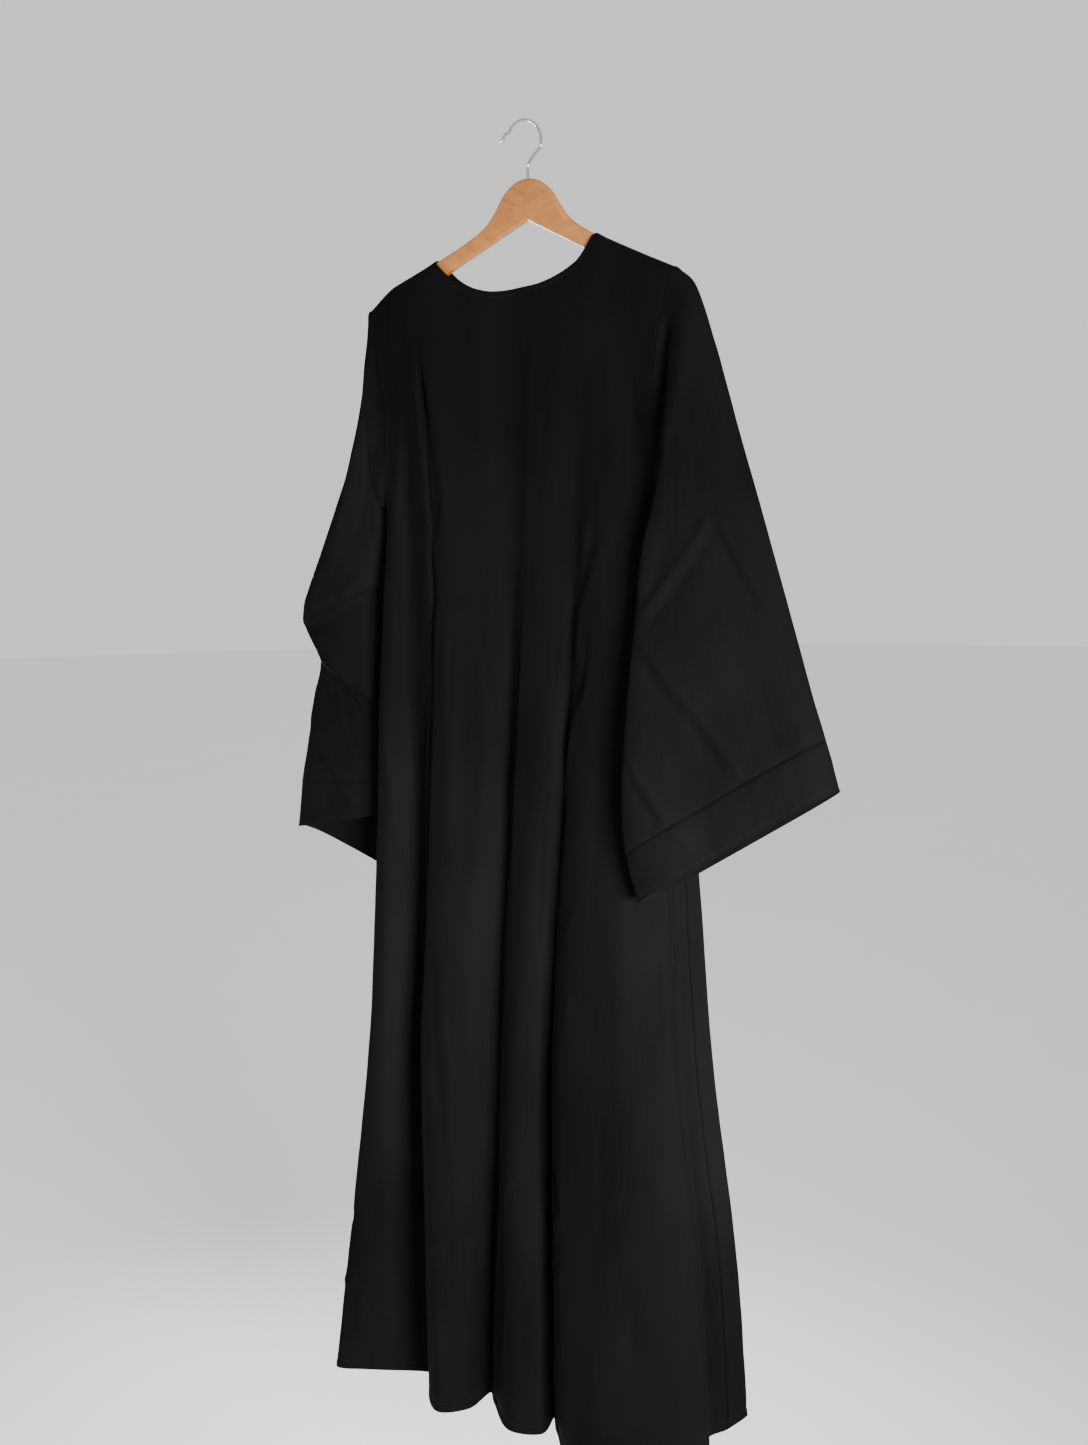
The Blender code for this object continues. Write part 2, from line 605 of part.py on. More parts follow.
def wood_ring(offset, side):
    """Section of a hanger half at this distance from its middle, as points in millimetres."""
    crest, low = crest_z(offset), LOWER_EDGE_Z - LOWER_EDGE_SLOPE * offset
    to_tip = HANGER_LENGTH - offset
    shrink = dome(to_tip / HANGER_TIP_ROUND) if to_tip < HANGER_TIP_ROUND else 1.0
    middle = (crest + low) / 2
    half = (crest - low) / 2 * (0.35 + 0.65 * shrink)
    thick = HANGER_THICK / 2 * (0.35 + 0.65 * shrink)
    loop = []
    for corner_y, corner_z, radius, start in (
        (-1, 1, HANGER_TOP_ROUND, 180.0),
        (1, 1, HANGER_TOP_ROUND, 90.0),
        (1, -1, HANGER_LOW_ROUND, 0.0),
        (-1, -1, HANGER_LOW_ROUND, -90.0),
    ):
        radius *= thick / (HANGER_THICK / 2)
        for k in range(4):
            angle = math.radians(start - 30.0 * k)
            y = corner_y * (thick - radius) + radius * math.cos(angle)
            z = middle + corner_z * (half - radius) + radius * math.sin(angle)
            loop.append(np.array((HANGER_CENTRE + side * offset, y, z)))
    return loop


def build_hanger_half(side, name, finish, parent, bore):
    """One mitred half of the hanger: a loft through its sections, with the bore for the hook."""
    straight = HANGER_LENGTH - HANGER_TIP_ROUND
    offsets = [SEAM_GAP / 2, *CREST_AT[1:-2], straight]
    offsets += [straight + HANGER_TIP_ROUND * math.sin(math.radians(a)) for a in (25, 50, 72, 90)]
    rows = [wood_ring(offset, side) for offset in offsets]
    mesh = grid_mesh(name, rows, closed=True)
    shape = bmesh.new()
    shape.from_mesh(mesh)
    bmesh.ops.holes_fill(shape, edges=shape.edges, sides=0)
    bmesh.ops.recalc_face_normals(shape, faces=shape.faces)
    shape.to_mesh(mesh)
    shape.free()
    mesh.shade_smooth()
    half = add_object(name, mesh, finish, parent)
    cut = half.modifiers.new("Bore for the hook", "BOOLEAN")
    cut.operation = "DIFFERENCE"
    cut.object = bore


def hook_path():
    """Centre line of the hook's wire, from inside the wood to its end ball, with each point's size."""
    centre_x, centre_z = 2.5, WIRE / 2 - HOOK_RADIUS
    path = [np.array((HANGER_CENTRE, CREST_Z[0] - HOOK_SINK))]
    path += [np.array(point) for point in HOOK_STEM]
    steps = 12
    for k in range(steps + 1):
        angle = math.radians(HOOK_ROUND_FROM + (HOOK_ROUND_TO - HOOK_ROUND_FROM) * k / steps)
        path.append(np.array((centre_x + HOOK_RADIUS * math.cos(angle), centre_z + HOOK_RADIUS * math.sin(angle))))
    path += [np.array(point) for point in HOOK_FLARE]
    closed_ends = [2 * path[0] - path[1], *path, 2 * path[-1] - path[-2]]
    points = []
    for segment in range(len(path) - 1):
        count = 1 if segment < 2 else 3
        points += [through(closed_ends, segment, k / count) for k in range(count)]
    points.append(path[-1])
    sizes = [1.0] * len(points)
    heading = (points[-1] - points[-2]) / np.linalg.norm(points[-1] - points[-2])
    for reach, size in ((1.0, HOOK_BALL), (2.4, HOOK_BALL), (3.5, 1.05), (4.0, 0.45)):
        points.append(path[-1] + heading * reach)
        sizes.append(size)
    return points, sizes


def build_hook(finish, parent):
    points, sizes = hook_path()
    wire = bpy.data.curves.new("hook", "CURVE")
    wire.dimensions = "3D"
    wire.bevel_depth = WIRE / 2 * MM
    wire.bevel_resolution = 2
    wire.use_fill_caps = True
    line = wire.splines.new("POLY")
    line.points.add(len(points) - 1)
    for place, (x, z), size in zip(line.points, points, sizes):
        place.co = (x * MM, 0.0, z * MM, 1.0)
        place.radius = size
    line.use_smooth = True
    add_object("hook", wire, finish, parent)


def build_bore(parent):
    """The cutter for the hook's hole, a little wider and deeper than the wire."""
    top, low = -60.0, CREST_Z[0] - HOOK_SINK - BORE_CLEARANCE
    shape = bmesh.new()
    bmesh.ops.create_cone(
        shape, cap_ends=True, segments=20, depth=(top - low) * MM,
        radius1=(WIRE / 2 + BORE_CLEARANCE) * MM, radius2=(WIRE / 2 + BORE_CLEARANCE) * MM,
    )
    mesh = bpy.data.meshes.new("hook_bore_cutter")
    shape.to_mesh(mesh)
    shape.free()
    bore = bpy.data.objects.new("hook_bore_cutter", mesh)
    bpy.context.scene.collection.objects.link(bore)
    bore.parent = parent
    bore.location = (HANGER_CENTRE * MM, 0.0, (top + low) / 2 * MM)
    bore.hide_render = True
    bore.display_type = "WIRE"
    return bore


def main():
    for old in list(bpy.data.objects):
        bpy.data.objects.remove(old)
    garment = bpy.data.objects.new("garment", None)
    hanger = bpy.data.objects.new("hanger", None)
    for empty in (hanger, garment):
        bpy.context.scene.collection.objects.link(empty)
    garment.parent = hanger
    black_cloth = material("Black satin-back cloth", (0.012, 0.012, 0.013), 0.62)
    honey_wood = material("Lacquered honey wood", (0.55, 0.27, 0.10), 0.35)
    chrome = material("Chrome wire", (0.62, 0.62, 0.63), 0.18, metallic=1.0)
    build_body(black_cloth, garment)
    build_sleeve(-1, "left", LEFT_SLEEVE, black_cloth, garment)
    build_sleeve(1, "right", RIGHT_SLEEVE, black_cloth, garment)
    bore = build_bore(hanger)
    build_hanger_half(-1, "hanger_left", honey_wood, hanger, bore)
    build_hanger_half(1, "hanger_right", honey_wood, hanger, bore)
    build_hook(chrome, hanger)


main()
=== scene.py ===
"""The looks of a black abaya that hangs on a wooden hanger with a chrome hook.

Lengths in the tables are in millimetres, and MM turns them into metres. The origin is the inside top of the
hook. X runs to the right as someone facing the garment sees it, Y runs to its back, and Z is up.
"""

import bisect
import json
import math
from collections import namedtuple

import bmesh
import bpy
import numpy as np
from bpy.props import FloatProperty, FloatVectorProperty, PointerProperty
from mathutils import Matrix, Vector, noise


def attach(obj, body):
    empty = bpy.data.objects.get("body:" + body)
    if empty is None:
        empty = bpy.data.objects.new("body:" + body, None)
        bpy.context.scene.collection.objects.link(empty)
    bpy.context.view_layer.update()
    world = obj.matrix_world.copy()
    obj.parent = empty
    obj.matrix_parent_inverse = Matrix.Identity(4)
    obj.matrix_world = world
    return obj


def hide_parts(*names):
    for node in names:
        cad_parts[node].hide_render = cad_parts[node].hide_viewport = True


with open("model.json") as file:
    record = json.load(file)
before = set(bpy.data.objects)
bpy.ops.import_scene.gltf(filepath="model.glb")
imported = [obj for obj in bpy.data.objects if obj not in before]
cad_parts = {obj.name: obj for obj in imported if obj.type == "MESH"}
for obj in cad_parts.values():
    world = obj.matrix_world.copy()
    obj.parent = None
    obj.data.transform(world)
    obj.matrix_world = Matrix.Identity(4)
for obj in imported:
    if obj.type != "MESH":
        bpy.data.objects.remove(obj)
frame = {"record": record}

bl_info = {
    "name": "Abaya on a hanger",
    "version": (1, 0, 0),
    "blender": (4, 5, 0),
    "location": "3D View > Sidebar > Abaya",
    "description": "Builds a black abaya on its wooden hanger, piece by piece",
    "category": "Add Mesh",
}

MM = 0.001
RECORD_NAME = frame["record"].get("name", "Abaya on a hanger")

# Seams and gaps. The solids stand apart at their seams, and the cloth here is sewn shut
SEAM_GAP = 0.3
SEWN_OVERLAP = 0.1  # sewn edges run into each other by this much, so that no light comes through
CUFF_GAP = -SEWN_OVERLAP
ARMHOLE_GAP = 0.1
SEAM_STRAIGHT = 2.5
UNDERARM_GAP = 1.2
UNDERARM_TURN = 35.0
UNDERARM_LIFT = 1.4
BODY_WALL = 1.5

# Garment, as it hangs
GARMENT_CENTRE = -13.5
FRONT_DEPTH = 9.0
BACK_DEPTH = 9.0
SHOULDER_ROUND = 9.0
NECK_LEFT = -139.7
NECK_RIGHT = 112.9
BACK_NECK_LOWER = 4.0
UNDERARM_Z = -475.0
ARMHOLE_ROUND = 55.0
GROOVE_AT = 0.28
GROOVE_ENDS = (0.14, 0.85)
NECK_STRIPS = (1.5, 4.2)
NECK_SPREAD = 14.0
NECK_LIFT = 0.6

# Hanger and hook
HANGER_CENTRE = 8.5
HANGER_THICK = 12.0
HANGER_TOP_ROUND = 5.5
HANGER_LOW_ROUND = 3.0
HANGER_LENGTH = 219.0
HANGER_TIP_ROUND = 9.0
CREST_GAP = 0.35
BORE_CLEARANCE = 0.3
WIRE = 3.6
HOOK_RADIUS = 27.0
HOOK_SINK = 26.0
HOOK_BALL = 1.45

# Heights at which the fold tables give each fold's place, above the hem
LEVELS = (-360.0, -600.0, -1150.0, -1400.0)

# A fold's crest or valley: (x, y) at the chest, the waist, the knee and the shin, and (x, y, z) at the hem
Fold = namedtuple("Fold", "name chest waist knee shin hem")

LEFT_SEAM = Fold("left seam", (-224, 0), (-233, 3), (-240, 8), (-260, 9), (-284, 10, -1642))
RIGHT_SEAM = Fold("right seam", (197, 0), (217, 5), (243, 14), (274, 18), (286, 20, -1616))

FRONT_FOLDS = (
    LEFT_SEAM,
    Fold("left corner", (-211, -11), (-237, -9), (-253, -34), (-278, -47), (-309, -61, -1663)),
    Fold("left belly", (-199, -13), (-218, -20), (-226, -38), (-239, -41), (-256, -43, -1661)),
    Fold("left valley", (-186, -12), (-182, -8), (-188, 0), (-185, -2), (-180, -5, -1659)),
    Fold("tuck side", (-168, -15), (-153, -15), (-170, -14), (-167, -15), (-160, -16, -1659)),
    Fold("tuck groove", (-159, -9), (-143, -13), (-157, -32), (-155, -36), (-150, -38, -1660)),
    Fold("ridge one", (-149, -15), (-134, -21), (-149, -46), (-147, -53), (-141, -58, -1661)),
    Fold("belly one", (-115, -14), (-100, -24), (-122, -60), (-117, -71), (-106, -80, -1666)),
    Fold("flank one", (-60, -12), (-52, -18), (-80, -44), (-80, -50), (-76, -54, -1663)),
    Fold("valley one", (-8, -11), (-14, -9), (-50, -4), (-64, -4), (-78, -4, -1659)),
    Fold("ridge two", (17, -14), (5, -19), (-26, -27), (-39, -27), (-53, -26, -1660)),
    Fold("belly two", (45, -13), (36, -24), (8, -46), (3, -53), (0, -60, -1669)),
    Fold("flank two", (70, -12), (66, -18), (34, -34), (34, -38), (40, -42, -1669)),
    Fold("valley two", (95, -11), (82, -12), (38, -8), (34, -9), (34, -10, -1661)),
    Fold("ridge three", (113, -13), (99, -21), (58, -31), (55, -33), (57, -34, -1664)),
    Fold("belly three", (131, -13), (132, -28), (105, -62), (109, -72), (118, -80, -1674)),
    Fold("flank three", (147, -12), (172, -25), (182, -60), (195, -73), (212, -86, -1672)),
    Fold("right edge", (162, -11), (205, -15), (238, -21), (271, -23), (287, -24, -1648)),
    Fold("right valley", (177, -9), (213, -5), (226, 1), (252, 3), (266, 4, -1628)),
    RIGHT_SEAM,
)

BACK_FOLDS = (
    LEFT_SEAM,
    Fold("back left corner", (-208, 9), (-234, 13), (-245, 27), (-266, 34), (-292, 40, -1648)),
    Fold("back valley one", (-190, 9), (-210, 10), (-222, 11), (-238, 12), (-256, 13, -1646)),
    Fold("back crest one", (-160, 9), (-180, 15), (-198, 31), (-210, 37), (-224, 42, -1650)),
    Fold("back valley two", (-130, 9), (-147, 10), (-162, 9), (-171, 9), (-180, 10, -1646)),
    Fold("back crest two", (-98, 9), (-110, 16), (-122, 33), (-129, 39), (-136, 44, -1651)),
    Fold("back valley three", (-68, 9), (-78, 11), (-86, 10), (-91, 10), (-97, 9, -1646)),
    Fold("back crest three", (-38, 9), (-44, 17), (-48, 35), (-50, 40), (-53, 43, -1650)),
    Fold("back valley four", (-8, 9), (-10, 11), (-10, 9), (-10, 8), (-10, 8, -1645)),
    Fold("back crest four", (22, 9), (26, 16), (31, 32), (33, 38), (36, 44, -1648)),
    Fold("back valley five", (52, 9), (60, 11), (69, 10), (74, 10), (80, 10, -1642)),
    Fold("back crest five", (84, 9), (96, 15), (110, 34), (118, 39), (126, 43, -1643)),
    Fold("back valley six", (114, 9), (130, 10), (148, 9), (159, 10), (170, 11, -1636)),
    Fold("back crest six", (138, 9), (164, 15), (188, 31), (202, 36), (216, 41, -1634)),
    Fold("back valley seven", (158, 9), (192, 10), (226, 12), (246, 14), (264, 15, -1616)),
    Fold("back right corner", (175, 9), (220, 13), (260, 27), (289, 36), (302, 39, -1600)),
    RIGHT_SEAM,
)

# Armhole: half the garment's width at each share of its height, from the shoulder point down
ARMHOLE_SHARES = (0.0, 0.12, 0.25, 0.45, 0.65, 0.82, 0.93, 1.0)
ARMHOLE_HALVES = (238.8, 229.0, 219.5, 212.0, 209.5, 211.0, 215.5, 221.0)

# Neckline of the front, from the left neck point to the right one
NECKLINE_X = (-139.7, -113.2, -87.8, -55.2, -30.0, -4.9, 40.7, 85.4, 104.0, 112.9)
NECKLINE_Z = (-160.0, -181.7, -193.0, -201.5, -203.0, -201.1, -193.8, -174.7, -156.0, -142.2)

# Hanger: height of its crest and of its lower edge by distance from its middle
CREST_AT = (0.0, 12.0, 22.0, 31.0, 39.0, 48.5, 61.0, 78.0, 106.0, 140.0, 180.0, 205.0, 219.0)
CREST_Z = (-69.0, -70.5, -75.0, -81.5, -90.0, -103.5, -118.0, -130.0, -144.0, -158.3, -174.4,
           -184.0, -189.5)
LOWER_EDGE_Z = -118.7
LOWER_EDGE_SLOPE = 0.447

# Where the cloth falls past the left tip of the hanger
PAST_TIP_X = (-253.0, -240.0, -226.0, -214.0, -205.0)
PAST_TIP_Z = (-218.5, -208.5, -198.0, -190.2, -186.2)

# Hook: centre line of the wire from the wood up to the round part, and its flared end
HOOK_STEM = ((8.5, -66.0), (8.5, -56.0), (10.2, -50.5), (19.0, -41.0))
HOOK_ROUND_FROM, HOOK_ROUND_TO = -18.0, 152.0
HOOK_FLARE = ((-26.0, -13.0), (-30.0, -18.5))

# A sleeve's cross section: its outer and its inner fold, how far each layer stands off the line between
# them, the share of its width over which the front one does, and how far each layer's edge is pushed up
Ring = namedtuple("Ring", "name outer inner front back front_reach front_rise back_rise")

RIGHT_SLEEVE = (
    Ring("cap", (252, 0, -206), (219, -19, -458), 15, 12, 1, 0, 0),
    Ring("upper arm", (281, 2, -280), (209, -38, -532), 18, 13, 1, 0, 0),
    Ring("above elbow", (315, 4, -388), (203, -52, -628), 22, 15, 1, 0, 0),
    Ring("elbow", (349, 7, -495), (200, -62, -710), 25, 17, 1, 0, 0),
    Ring("below elbow", (382, 10, -602), (198, -69, -789), 27, 19, 1, 0, 0),
    Ring("forearm", (408, 12, -686), (199, -71, -845), 28, 20, 1, 0, 0),
    Ring("band seam", (424, 14, -735), (203, -70, -880), 28, 21, 1, 0, 0),
    Ring("cuff edge", (442, 15, -793), (217, -65, -939), 28, 22, 1, 0, 0),
)

LEFT_SLEEVE = (
    Ring("cap", (-261, -1, -262), (-253, 6, -470), 13, 10, 1, 0, 0),
    Ring("upper arm", (-268, -2, -335), (-250, 19, -502), 16, 11, 1, 0, 0),
    Ring("above elbow", (-300, -5, -438), (-248, 26, -526), 20, 11, 1, 0, 0),
    Ring("pouch", (-352, -9, -560), (-244, 29, -548), 28, 12, 0.9, 0, 0),
    Ring("pouch lip", (-373, -14, -628), (-242, 31, -566), 28, 13, 0.85, 0, 0),
    Ring("slit", (-375, -13, -640), (-238, 33, -584), 13, 13, 0.8, 18, 0),
    Ring("flap", (-366, -9, -656), (-232, 37, -640), 19, 13, 0.75, 0, 0),
    Ring("flap edge", (-354, -5, -671), (-224, 42, -770), 24, 12, 0.7, 0, 0),
    Ring("under flap", (-356, -4, -682), (-222, 43, -784), 17, 12, 0.7, 6, 0),
    Ring("forearm", (-377, -4, -775), (-206, 47, -832), 22, 12, 0.7, 34, -12),
    Ring("band seam", (-394, -5, -852), (-190, 50, -900), 26, 13, 0.7, 62, -26),
    Ring("cuff edge", (-403, -5, -916), (-184, 52, -966), 27, 14, 0.7, 92, -50),
)
GROOVES = {-1: 0.3, 1: 0.75}

# Fineness of the cloth
CREST_ANGLES = (0.0, 5.0, 12.0, 22.0, 34.0, 47.0, 61.0, 75.0, 90.0)
LEVEL_STEP = 4.0  # heights between which a panel's curves are taken straight
ARMHOLE_ROWS = 38
SKIRT_ROWS = 134
THREAD_RADIUS = 0.00042
STITCH_SPACING = 1.28  # from one stitch to the next, over a stitch's length
HEM_ROWS = (14.0, 12.4, 11.2, 10.2, 8.6, 5.6, 2.6, 1.0, 0.0)  # heights above the hem's edge
FRONT_COLUMN = 4.6
BACK_COLUMN = 4.9
SLEEVE_STEP = 6.0
SLEEVE_COLUMNS = 66
CUFF_ROWS = (9.0, 5.5, 3.0, 1.2)  # rows this far above a cuff's edge

# A crease in the cloth: its line as (x, z), how wide it is to each side, how far it stands out (or
# sinks, below 0) and how round its top is, in millimetres, and the share of the line over which it fades
Crease = namedtuple("Crease", "line left right depth soft fade")


CREASE_LIFT = 1.9  # how far a crease of depth 1 stands out, in millimetres
CREASE_EVENING = 0.6  # below 1, faint creases gain more than deep ones, because black cloth hides them


def crease(line, left, right, depth, soft=4.0, fade=0.3):
    """A crease whose depth is how strong it looks on the real cloth. CREASE_LIFT makes millimetres of it."""
    lifted = CREASE_LIFT * abs(depth) ** CREASE_EVENING
    return Crease(np.array(line, float), left, right, lifted if depth > 0 else -lifted, soft, fade)


FRONT_CREASES = (
    # The tuck below the left shoulder: a long narrow furrow between two edges
    crease([(-189, -285), (-169, -338), (-159, -407), (-155, -462), (-149, -511), (-129, -570)],
           7, 5, 3.4, 2),
    crease([(-179, -268), (-159, -326), (-146, -390), (-137, -462), (-136, -511), (-129, -560)],
           7, 7, -4.2, 4),
    crease([(-170, -250), (-148, -313), (-134, -372), (-120, -462), (-125, -511), (-129, -570)],
           5, 12, 3.0, 2),
    crease([(-196, -330), (-192, -420), (-190, -520), (-196, -640)], 12, 10, -2.2, 6),
    # The first long ridge and the streaks beside it
    crease([(-129, -560), (-140, -640), (-148, -693), (-157, -796), (-161, -864), (-170, -960)],
           4, 15, 2.6, 1.5),
    crease([(-165, -900), (-160, -1060), (-143, -1211), (-130, -1438), (-138, -1632)], 5, 13, 2.2, 2),
    crease([(-120, -592), (-113, -692), (-113, -796), (-114, -952)], 5, 8, 0.9, 1.5),
    crease([(-101, -625), (-100, -717), (-100, -847), (-103, -951)], 6, 7, 0.7, 1.5),
    crease([(-124, -719), (-118, -796), (-114, -887)], 4, 6, -0.8, 1.5),
    crease([(-108, -610), (-106, -700), (-107, -800)], 5, 6, -0.8, 1.5),
    crease([(-120, -979), (-109, -1090), (-100, -1202), (-95, -1293), (-84, -1398)], 8, 8, 1.7, 2),
    crease([(-132, -960), (-122, -1090), (-113, -1210), (-104, -1330)], 9, 7, -1.5, 4),
    crease([(-73, -1134), (-69, -1260), (-64, -1343)], 6, 8, 1.3, 2),
    crease([(-84, -1100), (-80, -1240), (-74, -1350)], 8, 6, -1.0, 3),
    crease([(-92, -640), (-80, -760), (-78, -900), (-86, -1040)], 14, 16, -1.4, 8),
    crease([(-60, -640), (-52, -780), (-60, -930)], 10, 14, 1.0, 6),
    # The left side: a wide belly that turns sharply into the dark valley
    crease([(-228, -647), (-225, -780), (-212, -868), (-205, -971), (-200, -1100)], 16, 5, 2.2, 2),
    crease([(-185, -489), (-194, -659), (-193, -833), (-188, -996), (-182, -1180)], 8, 9, -2.4, 4),
    crease([(-243, -1010), (-246, -1130), (-249, -1250)], 10, 14, 1.2, 6),
    crease([(-233, -1364), (-232, -1414), (-238, -1464)], 7, 9, 1.4, 2),
    crease([(-262, -1440), (-240, -1446), (-217, -1440)], 6, 6, -1.2, 3),
    crease([(-282, -1505), (-267, -1546), (-275, -1605)], 7, 8, 1.4, 2),
    crease([(-229, -1471), (-213, -1503), (-199, -1497)], 6, 6, 1.3, 2),
    crease([(-250, -1560), (-232, -1590), (-236, -1640)], 7, 9, 1.3, 3),
    crease([(-291, -1390), (-283, -1440), (-286, -1490)], 6, 8, 1.1, 3),
    # The ridge in the middle, with a sharp left side
    crease([(20, -225), (19, -300), (17, -387), (15, -470), (15, -560)], 6, 20, 2.2, 2.5),
    crease([(15, -520), (13, -604), (9, -652), (4, -700), (1, -765), (-6, -864), (-14, -930)],
           5, 18, 2.8, 1.5),
    crease([(-12, -880), (-33, -975), (-40, -1111), (-47, -1250), (-44, -1387)], 5, 14, 2.6, 1.5),
    crease([(-45, -1340), (-39, -1429), (-52, -1551), (-51, -1640)], 5, 11, 2.2, 1.5),
    crease([(3, -560), (0, -680), (-14, -860), (-30, -1000)], 9, 6, -1.8, 3),
    crease([(34, -600), (24, -760), (12, -900), (2, -1050)], 12, 16, -1.3, 8),
    crease([(60, -640), (48, -800), (30, -980)], 12, 16, 1.0, 8),
    # The pressed fold across the waist
    crease([(-150, -592), (-99, -589), (-66, -587), (-35, -582), (8, -578)], 4, 4, -1.5, 1.2, 0.2),
    crease([(-120, -596), (-66, -593), (-35, -588), (4, -584)], 5, 5, 0.9, 2, 0.2),
    crease([(70, -581), (106, -585), (140, -590)], 4, 4, -1.1, 1.5),
    crease([(112, -545), (142, -547), (170, -556)], 5, 5, -0.8, 2),
    # The right fold, which starts as two short branches
    crease([(139, -490), (128, -527), (119, -553), (106, -578), (100, -600), (96, -647), (98, -691)],
           7, 10, 2.4, 1.5),
    crease([(126, -470), (116, -512), (106, -548), (94, -590)], 8, 7, -1.8, 3),
    crease([(108, -478), (105, -512), (98, -548)], 6, 8, 1.5, 2),
    crease([(108, -630), (120, -667), (111, -702), (93, -732), (84, -762), (71, -808), (60, -870)],
           7, 11, 2.6, 1.5),
    crease([(104, -610), (110, -650), (104, -690), (86, -720)], 7, 6, -2.0, 3),
    crease([(76, -655), (71, -707)], 5, 7, 1.0, 2),
    crease([(64, -850), (54, -941), (49, -1000), (41, -1075), (36, -1234)], 5, 16, 2.6, 1.5),
    crease([(36, -1190), (35, -1369), (35, -1437), (37, -1550), (39, -1631)], 5, 11, 2.2, 1.5),
    crease([(50, -780), (42, -900), (34, -1040)], 9, 6, -1.4, 3),
    crease([(115, -958), (98, -982), (83, -1002)], 5, 7, 1.2, 2),
    crease([(103, -1061), (95, -1124)], 5, 7, 1.0, 2),
    crease([(142, -700), (140, -860), (134, -1020)], 18, 20, -1.5, 10),
    crease([(176, -920), (182, -1080), (190, -1240)], 16, 18, 1.3, 10),
    crease([(158, -1140), (160, -1290), (164, -1420)], 16, 16, -1.2, 9),
    # Crumples above the hem
    crease([(-76, -1430), (-75, -1531), (-75, -1624)], 6, 8, 1.5, 2),
    crease([(-81, -1394), (-105, -1431), (-120, -1457)], 6, 7, 1.9, 1.5),
    crease([(-72, -1406), (-96, -1443), (-112, -1470)], 6, 6, -1.4, 3),
    crease([(-120, -1494), (-106, -1570), (-107, -1617)], 6, 8, 1.6, 2),
    crease([(10, -1325), (-8, -1352), (-27, -1377)], 5, 7, 1.8, 1.5),
    crease([(26, -1305), (0, -1333), (-30, -1358)], 5, 6, 1.4, 1.5),
    crease([(22, -1322), (-4, -1350), (-26, -1366)], 5, 5, -1.4, 2),
    crease([(69, -1286), (84, -1308), (93, -1348), (66, -1390), (46, -1430)], 6, 8, 1.7, 2),
    crease([(58, -1300), (72, -1330), (74, -1362)], 6, 6, -1.3, 3),
    crease([(45, -1436), (74, -1440), (101, -1431)], 5, 7, 1.4, 2),
    crease([(106, -1516), (84, -1546), (68, -1572), (46, -1607)], 6, 8, 1.7, 2),
    crease([(98, -1530), (76, -1562), (60, -1592)], 5, 6, -1.2, 3),
    crease([(-12, -1430), (-4, -1500), (-14, -1580)], 8, 10, 1.3, 4),
    crease([(12, -1560), (4, -1610), (10, -1655)], 6, 8, 1.4, 3),
    crease([(150, -1490), (158, -1560), (150, -1640)], 10, 12, 1.2, 5),
    crease([(196, -1390), (206, -1480), (204, -1580)], 10, 12, -1.2, 6),
    # The strip beside the right edge
    crease([(225, -1010), (227, -1073), (234, -1137)], 5, 6, 1.2, 2),
    crease([(262, -1240), (268, -1340), (276, -1460)], 6, 6, 1.0, 3),
    # The flat chest hardly waves
    crease([(-92, -270), (-88, -360), (-96, -450)], 16, 18, -0.8, 10),
    crease([(-52, -250), (-46, -370), (-52, -480)], 20, 22, 0.8, 12),
    crease([(70, -240), (78, -340), (72, -440)], 18, 20, -0.8, 12),
    crease([(134, -250), (140, -350), (146, -450)], 14, 14, 1.0, 8),
    crease([(168, -300), (172, -400), (176, -480)], 8, 10, -1.2, 5),
)

